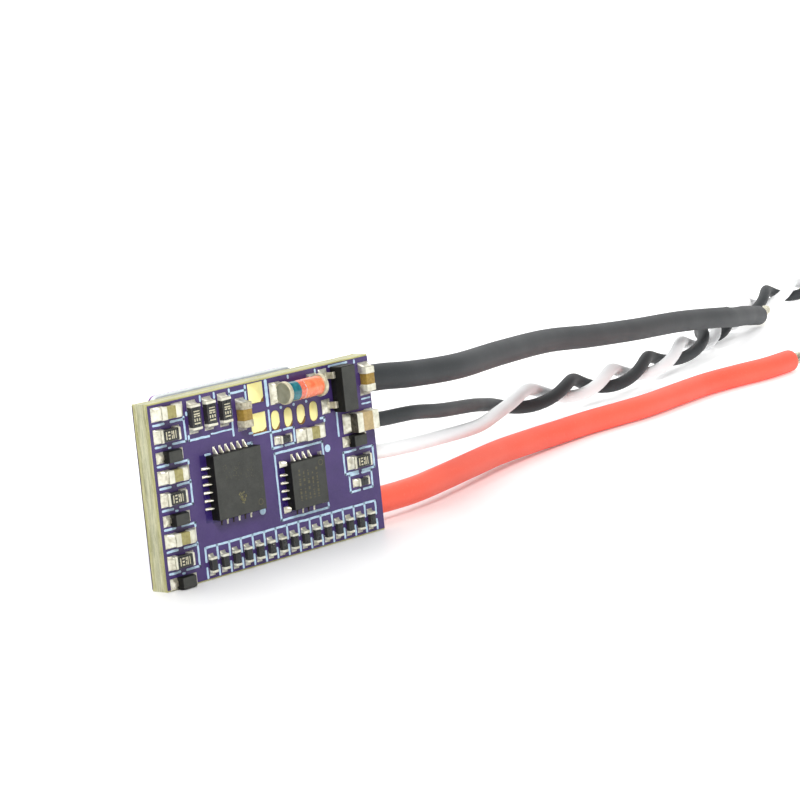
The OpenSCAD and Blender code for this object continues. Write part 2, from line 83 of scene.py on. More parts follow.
class Nodes:
    """A Principled material and short calls for the nodes that drive it."""

    def __init__(self, name, rough, metal=0.0, specular=0.5, coat=0.0):
        self.material = bpy.data.materials.new(name)
        self.material.use_nodes = True
        self.tree = self.material.node_tree
        self.shader = self.tree.nodes["Principled BSDF"]
        self.place = self.tree.nodes.new("ShaderNodeTexCoord").outputs["Object"]
        self.shader.inputs["Roughness"].default_value = rough
        self.shader.inputs["Metallic"].default_value = metal
        self.shader.inputs["Specular IOR Level"].default_value = specular
        if coat:
            self.shader.inputs["Coat Weight"].default_value = coat
            self.shader.inputs["Coat Roughness"].default_value = 0.1

    def link(self, value, socket):
        self.tree.links.new(value, socket)

    def noise(self, feature_mm, stretch=(1, 1, 1), detail=3.0, rough=0.5, distortion=0.0):
        """Noise with features of that size, longer along an axis with a larger stretch."""
        mapping = self.tree.nodes.new("ShaderNodeMapping")
        mapping.inputs["Scale"].default_value = [1 / (feature_mm * MM * s) for s in stretch]
        self.link(self.place, mapping.inputs["Vector"])
        texture = self.tree.nodes.new("ShaderNodeTexNoise")
        texture.inputs["Scale"].default_value = 1.0
        texture.inputs["Detail"].default_value = detail
        texture.inputs["Roughness"].default_value = rough
        texture.inputs["Distortion"].default_value = distortion
        self.link(mapping.outputs["Vector"], texture.inputs["Vector"])
        return texture.outputs["Fac"]

    def ramp(self, value, *stops):
        """Colours at positions from 0 to 1 along value."""
        node = self.tree.nodes.new("ShaderNodeValToRGB")
        elements = node.color_ramp.elements
        while len(elements) < len(stops):
            elements.new(0.5)
        for element, (position, colour) in zip(elements, stops):
            element.position = position
            element.color = colour
        self.link(value, node.inputs["Fac"])
        return node.outputs["Color"]

    def spread(self, value, low, high, start=0.3, end=0.7):
        """A number from low to high as value goes from start to end."""
        node = self.tree.nodes.new("ShaderNodeMapRange")
        for name, number in (("From Min", start), ("From Max", end), ("To Min", low), ("To Max", high)):
            node.inputs[name].default_value = number
        self.link(value, node.inputs["Value"])
        return node.outputs["Result"]

    def mix(self, value, a, b):
        node = self.tree.nodes.new("ShaderNodeMix")
        node.data_type = "RGBA"
        self.link(value, node.inputs["Factor"])
        for source, socket in ((a, node.inputs[6]), (b, node.inputs[7])):
            if isinstance(source, tuple):
                socket.default_value = source
            else:
                self.link(source, socket)
        return node.outputs[2]

    def colour(self, value):
        self.link(value, self.shader.inputs["Base Color"])

    def rough(self, value):
        self.link(value, self.shader.inputs["Roughness"])

    def bump(self, value, height_mm):
        node = self.tree.nodes.new("ShaderNodeBump")
        node.inputs["Strength"].default_value = 1.0
        node.inputs["Distance"].default_value = height_mm * MM
        self.link(value, node.inputs["Height"])
        self.link(node.outputs["Normal"], self.shader.inputs["Normal"])


def mottled(name, dark, light, feature_mm, rough, metal=0.0, bump_mm=0.0, bump_feature=None,
            rough_spread=0.15, coat=0.0, stretch=(1, 1, 1)):
    """A surface that varies between two near colours, with its own roughness and bump."""
    n = Nodes(name, rough, metal, coat=coat)
    n.colour(n.ramp(n.noise(feature_mm, stretch), (0.3, srgb(*dark)), (0.7, srgb(*light))))
    uneven = n.noise(feature_mm * 0.6, stretch)
    n.rough(n.spread(uneven, max(0.02, rough - rough_spread), rough + rough_spread))
    if bump_mm:
        n.bump(n.noise(bump_feature or feature_mm * 0.5, stretch), bump_mm)
    return n.material


def glass_material(name, dark, light, feature_mm, rough, coat):
    return mottled(name, dark, light, feature_mm, rough, rough_spread=0.06, coat=coat)


def laminate_material():
    """Glass laminate on its sawn edge: olive resin with paler and greyer glass streaks along the edge.
    The middle of the board's thickness is paler, and what lies next to the two faces is greener."""
    n = Nodes("laminate", 0.6, specular=0.3)
    layers = n.noise(0.16, (14, 1, 14), 5.0, 0.7, 0.4)
    patches = n.noise(0.8, (2.0, 0.3, 2.0), 4.0, 0.65)
    specks = n.noise(0.07, (2.5, 1, 2.5), 3.0, 0.6)
    base = n.ramp(layers, (0.34, srgb(92, 92, 58)), (0.45, srgb(148, 144, 96)), (0.55, srgb(188, 184, 138)),
                  (0.68, srgb(226, 224, 192)))
    worn = n.ramp(patches, (0.38, srgb(120, 124, 104)), (0.6, srgb(210, 206, 170)))
    streaked = n.mix(n.spread(patches, 0.1, 0.65), base, worn)
    specked = n.mix(n.spread(specks, 0.0, 0.5, 0.56, 0.72), streaked, srgb(228, 224, 192))
    split = n.tree.nodes.new("ShaderNodeSeparateXYZ")
    n.link(n.place, split.inputs["Vector"])
    depth = n.spread(split.outputs["Y"], 0.0, 1.0, FRONT_Y * MM, REAR_Y * MM)
    near_face = n.ramp(depth, (0.02, srgb(190, 190, 190)), (0.28, srgb(0, 0, 0)), (0.7, srgb(0, 0, 0)),
                       (0.98, srgb(170, 170, 170)))
    middle = n.ramp(depth, (0.2, srgb(0, 0, 0)), (0.45, srgb(150, 150, 150)), (0.6, srgb(150, 150, 150)),
                    (0.85, srgb(0, 0, 0)))
    n.colour(n.mix(near_face, n.mix(middle, specked, srgb(222, 226, 202)), srgb(200, 198, 116)))
    n.rough(n.spread(layers, 0.45, 0.8))
    n.bump(layers, 0.03)
    return n.material


def mask_material():
    """Violet lacquer over copper: small shifts of tone and a little orange peel."""
    n = Nodes("solder_mask", 0.3, specular=0.5)
    tone = n.noise(2.2, detail=2.0)
    fine = n.noise(0.12, detail=3.0)
    base = n.ramp(tone, (0.3, srgb(60, 43, 98)), (0.7, srgb(70, 51, 109)))
    n.colour(n.mix(n.spread(fine, 0.0, 0.35), base, srgb(78, 59, 117)))
    n.rough(n.spread(n.noise(0.6), 0.28, 0.42))
    n.bump(n.noise(0.25, detail=2.0), 0.002)
    return n.material


def solder_material():
    n = Nodes("solder", 0.25, 0.7)
    grain = n.noise(0.3, detail=3.0)
    n.colour(n.ramp(grain, (0.34, srgb(200, 195, 173)), (0.5, srgb(228, 225, 206)),
                    (0.66, srgb(244, 242, 226))))
    n.rough(n.spread(n.noise(0.14, detail=3.0), 0.28, 0.46))
    n.bump(n.noise(0.3, detail=2.0), 0.004)
    return n.material


def moulding_material(name, dark, light, rough=0.55, specular=0.3):
    """Matt epoxy with the fine sparkle of its filler."""
    dark, light = srgb(*dark), srgb(*light)
    n = Nodes(name, rough, specular=specular)
    broad = n.noise(0.7, detail=2.0)
    specks = n.noise(0.035, detail=2.0)
    base = n.ramp(broad, (0.3, dark), (0.7, light))
    pale = tuple(min(1.0, c * 1.7) for c in light[:3]) + (1.0,)
    n.colour(n.mix(n.spread(specks, 0.0, 0.5, 0.55, 0.72), base, pale))
    n.rough(n.spread(n.noise(0.3), rough - 0.08, rough + 0.1))
    n.bump(n.noise(0.04, detail=3.0), 0.004)
    return n.material


def silicone_material(name, dark, light, rough, sheen):
    """Silicone rubber: a soft even skin with a little dust."""
    dark, light = srgb(*dark), srgb(*light)
    n = Nodes(name, rough, specular=0.3)
    broad = n.noise(5.0, detail=2.0)
    dust = n.noise(0.16, detail=2.0)
    base = n.ramp(broad, (0.3, dark), (0.7, light))
    pale = tuple(min(1.0, c * 1.35 + 0.01) for c in light[:3]) + (1.0,)
    n.colour(n.mix(n.spread(dust, 0.0, 0.35, 0.58, 0.75), base, pale))
    n.rough(n.spread(n.noise(3.0), rough - 0.03, rough + 0.05))
    n.bump(n.noise(0.4, detail=2.0), 0.0005)
    n.shader.inputs["Sheen Weight"].default_value = sheen
    n.shader.inputs["Sheen Roughness"].default_value = 0.5
    return n.material


def plate_material():
    """Anodised aluminium with brushed lines."""
    n = Nodes("anodised_plate", 0.38, 0.35)
    lines = n.noise(0.09, (40, 1, 1), 3.0)
    n.colour(n.ramp(lines, (0.3, srgb(128, 82, 150)), (0.7, srgb(160, 112, 182))))
    n.rough(n.spread(lines, 0.28, 0.45))
    n.bump(lines, 0.003)
    return n.material


MAT = {
    "laminate": laminate_material(),
    "mask": mask_material(),
    # Darker mask: a painted shadow cast by the circuits beside them.
    "circuit_shadow": mottled("solder_mask_painted_shadow", (38, 24, 84), (50, 34, 98), 0.5, 0.35),
    "ink": mottled("legend_ink", (172, 204, 226), (200, 224, 240), 0.22, 0.6, 0.0, 0.004, 0.06),
    "gold": mottled("gold_plate", (252, 240, 158), (255, 249, 180), 0.9, 0.38, 0.3, 0.002, 0.2, 0.05),
    "gold_edge": mottled("gold_pad_edge", (120, 84, 34), (150, 108, 50), 0.2, 0.5, 0.5),
    "tin": mottled("tin", (176, 170, 150), (216, 210, 190), 0.2, 0.4, 0.8, 0.005, 0.1),
    "solder": solder_material(),
    "termination": mottled("termination", (208, 205, 183), (241, 240, 223), 0.32, 0.42, 0.1, 0.004, 0.2),
    # End faces: the termination metal darkened as painted shade.
    "end_painted_shade": mottled("termination_face_painted_shade", (150, 146, 124), (210, 206, 184), 0.25, 0.45, 0.3, 0.006, 0.14),
    # The driver capacitor's terminations, darkened all over as painted shade.
    "whole_end_painted_shade": mottled("termination_painted_shade", (150, 140, 116), (206, 200, 178), 0.22, 0.45, 0.1, 0.006, 0.12),
    "left_end_deep_shade": mottled("termination_shaded", (70, 66, 56), (112, 106, 90), 0.24, 0.4, 0.6, 0.008, 0.1),
    "mould": moulding_material("moulding_compound", (61, 62, 59), (70, 71, 67)),
    # The same compound as the tops, darker only as painted shade for the sides.
    "mould_painted_shade": moulding_material("moulding_compound_painted_shade", (18, 18, 17), (24, 24, 22), 0.5, 0.2),
    "joint_painted_shade": mottled("joint_shaded", (30, 26, 30), (70, 52, 40), 0.12, 0.5, 0.3),
    "mark": mottled("laser_mark", (112, 106, 68), (136, 130, 86), 0.1, 0.7),
    "faint_mark": mottled("faint_laser_mark", (84, 82, 62), (100, 96, 70), 0.08, 0.7),
    "tan": mottled("tan_ceramic", (146, 138, 84), (172, 164, 108), 0.18, 0.5, 0.0, 0.006),
    "brown": mottled("brown_ceramic", (138, 110, 42), (168, 138, 62), 0.2, 0.45, 0.0, 0.006),
    "peach": mottled("peach_ceramic", (174, 152, 108), (194, 172, 126), 0.2, 0.5, 0.0, 0.006),
    "glaze": mottled("resistor_glaze", (40, 42, 42), (50, 52, 52), 0.3, 0.34, 0.0, 0.003, 0.1),
    "resistor": mottled("resistor_body", (30, 29, 30), (58, 56, 54), 0.12, 0.6, 0.0, 0.006),
    # A lighter rim round the glaze: painted highlight along the resistor's top edges.
    "rim": mottled("resistor_rim", (84, 82, 78), (122, 118, 112), 0.1, 0.6, 0.0, 0.003),
    "code": mottled("resistor_code", (186, 180, 150), (214, 208, 180), 0.08, 0.6, 0.0, 0.003),
    "glass_red": glass_material("diode_glass_red", (244, 112, 70), (254, 144, 98), 0.35, 0.24, 0.7),
    # Rose glass: a painted highlight on the red glass next to the teal band.
    "glass_rose": glass_material("diode_glass_rose", (216, 96, 72), (238, 128, 100), 0.16, 0.24, 0.7),
    "glass_teal": glass_material("diode_glass_teal", (20, 92, 106), (40, 124, 132), 0.25, 0.2, 0.5),
    "glass_line": glass_material("diode_glass_line", (176, 150, 140), (226, 206, 196), 0.1, 0.3, 0.3),
    "diode_cap": mottled("diode_caps", (184, 176, 146), (222, 214, 188), 0.3, 0.42, 0.35, 0.008, 0.12),
    # The cap metal darkened as painted shade, for the caps' flat outer faces.
    "diode_face": mottled("diode_cap_face", (130, 130, 110), (160, 158, 138), 0.6, 0.45, 0.15, 0.006, 0.3),
    "pad": mottled("thermal_pad", (150, 154, 162), (176, 180, 186), 0.12, 0.75, 0.0, 0.012, 0.06),
    "plate": plate_material(),
    "plate_edge": mottled("plate_edge", (220, 227, 226), (238, 244, 243), 0.08, 0.5, 0.1, 0.006,
                          stretch=(8, 1, 8)),
    "black_silicone": silicone_material("black_silicone", (51, 54, 56), (56, 59, 61), 0.6, 0.05),
    "red_silicone": silicone_material("red_silicone", (251, 98, 75), (253, 108, 86), 0.5, 0.05),
    "white_silicone": silicone_material("white_silicone", (251, 252, 253), (254, 254, 254), 0.5, 0.03),
    "wire": mottled("tinned_wire", (196, 190, 164), (234, 229, 206), 0.1, 0.34, 1.0, 0.006, 0.05),
    "plastic": moulding_material("plug_plastic", (26, 26, 28), (34, 34, 36), 0.5),
    "contact": mottled("contact_gold", (220, 170, 84), (244, 204, 128), 0.3, 0.28, 1.0, 0.004, 0.08, 0.1),
}


# ---------------------------------------------------------------- shapes

class Shape:
    """A mesh gathered in millimetres, with a material for each face."""

    def __init__(self):
        self.materials = []
        self.points = []
        self.faces = []
        self.numbers = []

    def number(self, material):
        if material not in self.materials:
            self.materials.append(material)
        return self.materials.index(material)

    def place(self, points, turn):
        """Adds points and gives the number of the first of them."""
        self.points += [turn @ Vector(p) if turn else Vector(p) for p in points]
        return len(self.points) - len(points)

    def add(self, points, faces, material, turn=None):
        base = self.place(points, turn)
        self.faces += [[base + i for i in face] for face in faces]
        self.numbers += [self.number(material)] * len(faces)

    def patch(self, outline, low, high, material, turn, top=None):
        """Walls round an outline and a face on top of them, or the faces that top gives."""
        n = len(outline)
        walls = [[k, (k + 1) % n, n + (k + 1) % n, n + k] for k in range(n)]
        points = [(u, v, h) for h in (low, high) for u, v in outline]
        self.add(points, walls + (top or [[n + k for k in range(n)]]), material, turn)

    def block(self, low, high, r, material, turn=None, segments=2, top=None):
        """A box between two corners, with rounded edges. top is another material for its upper face."""
        low, high = Vector(map(min, low, high)), Vector(map(max, low, high))
        bm = bmesh.new()
        bmesh.ops.create_cube(bm, size=1)
        for v in bm.verts:
            v.co = Vector((v.co[k] + 0.5) * (high[k] - low[k]) + low[k] for k in range(3))
        if r:
            bmesh.ops.bevel(bm, geom=bm.edges[:], offset=r, segments=segments, profile=0.5, affect="EDGES")
        bm.normal_update()
        bm.verts.index_update()
        most = 0.3 * (high.x - low.x) * (high.y - low.y)
        upper = [f for f in bm.faces if top and f.normal.z > 0.9 and f.calc_area() > most]
        base = self.place([v.co.copy() for v in bm.verts], turn)
        for group, skin in (([f for f in bm.faces if f not in upper], material), (upper, top)):
            for f in group:
                self.faces.append([base + v.index for v in f.verts])
                self.numbers.append(self.number(skin))
        bm.free()

    def loft(self, rings, material, turn=None, skins=None):
        """Walls through rings of points, closed at both ends. skins gives each band its own material."""
        n = len(rings[0])
        base = self.place([p for ring in rings for p in ring], turn)
        skins = skins or [material] * (len(rings) - 1)
        for i, skin in enumerate(skins):
            a = base + i * n
            self.faces += [[a + k, a + (k + 1) % n, a + n + (k + 1) % n, a + n + k] for k in range(n)]
            self.numbers += [self.number(skin)] * n
        last = base + (len(rings) - 1) * n
        self.faces += [[base + k for k in range(n)][::-1], [last + k for k in range(n)]]
        self.numbers += [self.number(skins[0]), self.number(skins[-1])]

    def field(self, low, high, cells, height, material, turn=None, foot=0.0):
        """A closed mound over a rectangle, as high at each place as height(u, v) says."""
        nu, nv = cells
        points = []
        for level in (0, 1):
            for j in range(nv + 1):
                for i in range(nu + 1):
                    u = low[0] + (high[0] - low[0]) * i / nu
                    v = low[1] + (high[1] - low[1]) * j / nv
                    points.append((u, v, max(foot + 0.001, height(u, v)) if level else foot))
        step = nu + 1
        count = step * (nv + 1)
        faces = []
        for j in range(nv):
            for i in range(nu):
                a = j * step + i
                faces.append([count + a, count + a + 1, count + a + 1 + step, count + a + step])
        rim = list(range(nu)) + [nu + j * step for j in range(nv)]
        rim += [nv * step + i for i in range(nu, 0, -1)] + [j * step for j in range(nv, 0, -1)]
        for a, b in zip(rim, rim[1:] + rim[:1]):
            faces.append([a, b, count + b, count + a])
        faces.append(rim[::-1])
        used = sorted({i for f in faces for i in f})
        number = {i: k for k, i in enumerate(used)}
        self.add([points[i] for i in used], [[number[i] for i in f] for f in faces], material, turn)

    def make(self, name, node, slot, smooth=35):
        """The finished piece, which rides on the root and stands for a CAD node."""
        mesh = bpy.data.meshes.new(name)
        mesh.from_pydata([p * MM for p in self.points], [], self.faces)
        for m in self.materials:
            mesh.materials.append(MAT[m])
        mesh.polygons.foreach_set("material_index", self.numbers)
        bm = bmesh.new()
        bm.from_mesh(mesh)
        bmesh.ops.recalc_face_normals(bm, faces=bm.faces[:])
        bm.to_mesh(mesh)
        bm.free()
        mesh.shade_smooth()
        mesh.set_sharp_from_angle(angle=math.radians(smooth))
        mesh.update()
        thing = bpy.data.objects.new(name, mesh)
        scene.collection.objects.link(thing)
        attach(thing, "root")
        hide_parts(node)
        return thing


def turned_by(degrees, axis):
    return Matrix.Rotation(math.radians(degrees), 4, axis)


def on_front(at, turn=0):
    """Places x right, y up and z out of the logic side at a point of the board."""
    place = Matrix.Translation((at[0] - BOARD_W / 2, FRONT_Y, at[1]))
    return place @ turned_by(90, "X") @ turned_by(turn, "Z")


def on_rear(at):
    """Places x left, y up and z out of the power side at a point of the board."""
    return Matrix.Translation((at[0] - BOARD_W / 2, REAR_Y, at[1])) @ turned_by(180, "Z") @ turned_by(90, "X")


def wobble(*at):
    return noise.noise(Vector(at + (0.0,) * (3 - len(at))))


def angles(n):
    return [2 * math.pi * k / n for k in range(n)]


def round_outline(x, y, radius, n):
    """Points round a place, each as far from it as radius(angle) says."""
    return [(x + radius(a) * math.cos(a), y + radius(a) * math.sin(a)) for a in angles(n)]


def ease(t):
    t = min(1.0, max(0.0, t))
    return t * t * (3 - 2 * t)


# ---------------------------------------------------------------- leads

def at_index(p, i):
    if i < 0:
        return 2 * p[0] - p[1]
    if i >= len(p):
        return 2 * p[-1] - p[-2]
    return p[i]


def blend(a, b, c, d, s):
    """A place between b and c on the smooth curve through a, b, c and d."""
    square, cube = 2 * a - 5 * b + 4 * c - d, 3 * b - a - 3 * c + d
    return 0.5 * (2 * b + (c - a) * s + square * s ** 2 + cube * s ** 3)


def curve(points, n):
    """A smooth curve through all the points, n steps from each to the next."""
    p = [Vector(q) for q in points]
    line = []
    for i in range(len(p) - 1):
        for k in range(n):
            line.append(blend(at_index(p, i - 1), p[i], at_index(p, i + 1), at_index(p, i + 2), k / n))
    return line + [p[-1]]


def heading(line, i):
    return (line[min(i + 1, len(line) - 1)] - line[max(i - 1, 0)]).normalized()


def side_of(t):
    return t.cross(Vector((0, 0, 1))).normalized()


def rise_of(t):
    return side_of(t).cross(t)


def strand(route, n, half_turn):
    """The line that one signal lead follows round the middle of the pair."""
    places = curve([q[:3] for q in route], n)
    twists = curve([(q[3], q[4], 0) for q in route], n)
    line = []
    for i, (m, twist) in enumerate(zip(places, twists)):
        t = heading(places, i)
        a = math.radians(twist[1] + half_turn)
        line.append(m + twist[0] * (math.cos(a) * rise_of(t) + math.sin(a) * side_of(t)))
    return line


NEGATIVE_ROUTE = [
    (8.4, 1.65, 9.6), (10.5, 1.65, 9.55), (13, 1.7, 9.4), (16.5, 2.2, 9), (22.5, 3.7, 8.5), (31, 7.3, 8),
    (41, 11.7, 7.2), (49.5, 14.7, 6.2), (59, 18, 5.2), (69.5, 21.8, 4.2), (79.5, 25.2, 3), (83.5, 26.9, 2.4),
    (87.6, 28.9, 1.9), (90.9, 30.5, 1.4), (93.6, 31.8, 1),
]
POSITIVE_ROUTE = [
    (8.4, 1.65, 1.6), (10, 1.65, 1.55), (12, 1.7, 1.4), (15.5, 2.1, 1.35), (19.5, 3.2, 1.35),
    (24.2, 4.8, 1.3), (29, 6.5, 1.2), (34, 7.8, 1.05), (38, 8.6, 0.95), (42, 9.2, 0.91), (46, 9.3, 0.91),
    (49.5, 9.5, 0.91), (54.5, 10.4, 0.91), (59, 11.1, 0.91), (63, 11.1, 0.91), (66.5, 10.9, 0.91),
    (70.4, 11.35, 0.91),
]
PAIR_ROUTE = [
    (8, 1.25, 5.95, 1.05, 0), (10, 1.25, 5.9, 1.05, 0), (12, 1.25, 5.7, 1.05, 0), (16, 2.1, 5.4, 1.05, 0),
    (21, 4.3, 4.75, 0.9, 0), (29, 8.8, 3.7, 0.8, -20), (34.5, 12, 3.2, 0.65, -60),
    (39.5, 14.8, 2.7, 0.65, -110),
    (47.5, 17, 2.1, 0.65, -285), (54, 18.4, 1.7, 0.65, -465), (60.5, 19.8, 1.55, 0.65, -645),
    (67.5, 21.8, 1.5, 0.65, -825), (76.5, 25.7, 1.3, 0.65, -1005), (83, 29, 1.2, 0.65, -1230),
    (89, 32, 1.2, 0.65, -1420), (95, 34.8, 1.2, 0.65, -1570), (101, 37.4, 1.2, 0.65, -1730),
    (106.5, 38.8, 1.2, 0.65, -1890), (111.5, 38.8, 1.2, 0.65, -2070), (117.5, 36, 1.2, 0.65, -2250),
    (121.5, 30.6, 1.2, 0.65, -2430), (123.5, 24, 1.2, 0.65, -2610), (124, 19.5, 1.2, 1.3, -2610),
    (124, 15.5, 1.25, 2.4, -2610), (124, 13.5, 1.25, 2.54, -2610), (124, 11.5, 1.25, 2.54, -2610),
]
BATTERY_D, SIGNAL_D, CONDUCTOR_D, SIGNAL_BORE = 1.8, 1.0, 1.0, 0.5
BARE_L, TUCK = 4.0, 0.3
CURVE_STEPS = 12
LEAD_SIDES = 28
BORE_DEPTH = 0.5


def ring(centre, t, r, sides):
    s, u = side_of(t), rise_of(t)
    return [centre + r * (math.cos(a) * s + math.sin(a) * u) for a in angles(sides)]


def insulation(line, d, bore_d, material, seed):
    """A lead's insulation: a slightly uneven tube, cut off square, with its bore open at both ends."""
    r, bore, lip = d / 2, bore_d / 2, 0.06 * d
    last = len(line) - 1
    rings = []
    for i in range(1, last):
        uneven = 1 - 0.006 * (1 + wobble(i * 0.1, seed))
        rings.append(ring(line[i], heading(line, i), r * uneven, LEAD_SIDES))
    for i, side in ((0, 1), (last, -1)):
        t = heading(line, i)
        mouth = [ring(line[i] + side * t * inward, t, radius, LEAD_SIDES)
                 for inward, radius in ((BORE_DEPTH, bore), (0.01, bore), (0.0, r - lip), (lip, r * 0.99))]
        rings = mouth + rings if side > 0 else rings + mouth[::-1]
    shape = Shape()
    shape.loft(rings, material)
    return shape


def conductor(start, t, length, d, turns, seed):
    """Tinned strands laid round a middle one, closing up towards the tip."""
    shape = Shape()
    strands, sides, steps = 10, 8, 14
    r = d / 2 * 0.3
    for k in range(strands + 1):
        rings = []
        reach = length * (1 - 0.03 * rng.random())
        for i in range(steps + 1):
            f = i / steps
            a = 2 * math.pi * (k / strands + turns * f) + 0.12 * wobble(k, f * 3, seed)
            out = 0.0 if k == strands else (d / 2 - r) * (1 - 0.05 * f + 0.04 * wobble(f * 4, k * 1.7, seed))
            centre = start + t * reach * f + out * (math.cos(a) * side_of(t) + math.sin(a) * rise_of(t))
            thick = r * (0.55 if i in (0, steps) else 1)
            if k == strands:
                thick *= 1.9
            rings.append(ring(centre, t, thick, sides))
        shape.loft(rings, "wire")
    return shape


def lead(name, line, d, bore_d, colour, seed):
    tube = insulation(line, d, bore_d, colour, seed)
    return tube.make(name + "_insulation", name + "_lead", colour, smooth=50)


negative_line = curve(NEGATIVE_ROUTE, CURVE_STEPS)
positive_line = curve(POSITIVE_ROUTE, CURVE_STEPS)
ground_line = strand(PAIR_ROUTE, CURVE_STEPS, 0)
signal_line = strand(PAIR_ROUTE, CURVE_STEPS, 180)


def bare_end(name, line, seed):
    """The bare strands past a battery lead's insulation. They start a little way inside it."""
    t = heading(line, len(line) - 1)
    level = Vector((t.x, t.y, 0)).normalized()
    shape = conductor(line[-1] - level * TUCK, level, BARE_L + TUCK, CONDUCTOR_D * 0.98, 0.45, seed)
    return shape.make(name + "_strands", name + "_end", "tinned_wire", smooth=50)


negative_end = bare_end("battery_negative", negative_line, 3.1)
positive_end = bare_end("battery_positive", positive_line, 8.4)
negative_lead = lead("battery_negative", negative_line, BATTERY_D, CONDUCTOR_D, "black_silicone", 1.3)
positive_lead = lead("battery_positive", positive_line, BATTERY_D, CONDUCTOR_D, "red_silicone", 5.7)
signal_lead = lead("signal", signal_line, SIGNAL_D, SIGNAL_BORE, "white_silicone", 9.2)
ground_lead = lead("ground", ground_line, SIGNAL_D, SIGNAL_BORE, "black_silicone", 12.6)


# ---------------------------------------------------------------- plug

PLUG_X, PLUG_Y, PLUG_L, PLUG_T = 124.0, 11.5, 14.0, 2.5
WAY = 2.54
WAY_HOLE = 1.7


def plug_housing():
    """A three-way crimp housing: ribbed sides, a latch window over each way and bevelled mouths."""
    half = 1.5 * WAY
    front, rear = PLUG_Y - PLUG_L, PLUG_Y
    shape = Shape()
    wall = (WAY - WAY_HOLE) / 2
    top_t = (PLUG_T - WAY_HOLE) / 2
    window = (front + 4.2, front + 6.4)
    # Floor, side walls and webs between the ways.
    shape.block((-half, front, 0), (half, rear, top_t), 0.08, "plastic")
    for k in range(4):
        x = -half + k * WAY
        low, high = (x, x + wall) if k == 0 else (x - wall, x) if k == 3 else (x - wall, x + wall)
        shape.block((low, front, 0.02), (high, rear, PLUG_T - 0.02), 0.08, "plastic")
    # Roof in two parts, with a window and a latch tongue over each way between them.
    shape.block((-half, front, PLUG_T - top_t), (half, window[0], PLUG_T), 0.08, "plastic")
    shape.block((-half, window[1] + 1.6, PLUG_T - top_t), (half, rear, PLUG_T), 0.08, "plastic")
    for k in (-1, 0, 1):
        x = k * WAY
        shape.block((x - 0.6, window[1] - 0.3, PLUG_T - top_t), (x + 0.6, window[1] + 1.65, PLUG_T - 0.04),
                    0.06, "plastic")
        for side in (-1, 1):
            shape.block((x + side * 0.66, window[0] - 0.05, PLUG_T - top_t),
                        (x + side * WAY / 2, window[1] + 1.65, PLUG_T), 0.05, "plastic")
    # Grip ribs on the two narrow sides.
    for side in (-1, 1):
        for k in range(4):
            y = rear - 2.2 - k * 0.9
            shape.block((side * (half - 0.12), y - 0.22, 0.4), (side * half, y + 0.22, PLUG_T - 0.4),
                        0.05, "plastic")
    shape.points = [p + Vector((PLUG_X, 0, 0)) for p in shape.points]
    return shape.make("plug_shell", "plug_housing", "plug_plastic")


def plug_contacts():
    """Two folded spring contacts: an open box in front, and crimp wings round the wire behind."""
    shape = Shape()
    w = WAY_HOLE - 0.1
    front, rear = PLUG_Y - PLUG_L + 2, PLUG_Y
    skin = 0.16
    z0, z1 = PLUG_T / 2 - w / 2, PLUG_T / 2 + w / 2
    for side in (-1, 1):
        x = PLUG_X + side * WAY
        box_end = front + 5.4
        shape.block((x - w / 2, front, z0), (x + w / 2, rear - 0.6, z0 + skin), 0.03, "contact")
        for s in (-1, 1):
            shape.block((x + s * (w / 2 - skin), front, z0), (x + s * w / 2, box_end, z1), 0.03, "contact")
        shape.block((x - w / 2, front, z1 - skin), (x + w / 2, box_end, z1), 0.03, "contact")
        shape.block((x - 0.3, front + 0.3, z0 + 0.3), (x + 0.3, front + 3.2, z0 + 0.42), 0.03, "contact")
        for start, length, reach in ((box_end + 0.9, 1.6, 0.34), (rear - 2.6, 1.9, 0.46)):
            rings = []
            for i in range(9):
                y = start + length * i / 8
                arc = []
                for a in angles(24):
                    pinch = 1 - 0.18 * math.exp(-((a - math.pi / 2) / 0.35) ** 2)
                    r = (reach + skin) * pinch * (0.97 if i in (0, 8) else 1)
                    arc.append((x + r * math.cos(a), y, PLUG_T / 2 + r * math.sin(a)))
                rings.append(arc)
            shape.loft(rings, "contact")
    return shape.make("plug_spring_contacts", "plug_contacts", "gold_plate")


plug_shell = plug_housing()
plug_springs = plug_contacts()


# ---------------------------------------------------------------- places on the board

DRIVER_AT, DRIVER_W, DRIVER_T = (6.2, 5.6), 4.0, 0.7
MCU_AT, MCU_W, MCU_T = (12.15, 4.45), 3.0, 0.65
LAND_PITCH = 0.5
MARK_T = 0.0015
DIODE_AT, DIODE_L, DIODE_D = (12.2, 10.4), 3.4, 1.45
DIODE_PITCH, DIODE_LAND = 3.3, (0.9, 1.4)
REGULATOR_AT = (16.1, 9.8)
GROUP_PITCH = 3.87
SIZE_0402, SIZE_0603, SIZE_0805 = (1.0, 0.5), (1.6, 0.8), (2.0, 1.25)
END_0402, END_0603, END_0805, RESISTOR_END = 0.17, 0.45, 0.55, 0.19
SHORT_LAND = (0.65, 0.9)
LAND_0402, LAND_0603 = (0.55, 0.55), (0.9, 0.9)

Sort = namedtuple("Sort", "size height end_l pitch land kind slot")
TAN = Sort(SIZE_0603, 0.5, END_0603, 1.7, LAND_0603, "tan", "tan_ceramic")
BROWN = Sort(SIZE_0603, 0.7, END_0603, 1.7, LAND_0603, "brown", "brown_ceramic")
CORNER_BROWN = Sort(SIZE_0603, 0.65, END_0603, 1.5, SHORT_LAND, "brown", "brown_ceramic")
PEACH = Sort(SIZE_0805, 0.85, END_0805, 2.0, (0.7, 1.3), "peach", "tan_ceramic")
CODED = Sort(SIZE_0603, 0.45, RESISTOR_END, 1.5, SHORT_LAND, "coded", "resistor_coat")
PLAIN = Sort(SIZE_0402, 0.35, END_0402, 1.0, LAND_0402, "plain", "resistor_coat")
IN_ROW = PLAIN._replace(pitch=0.95)

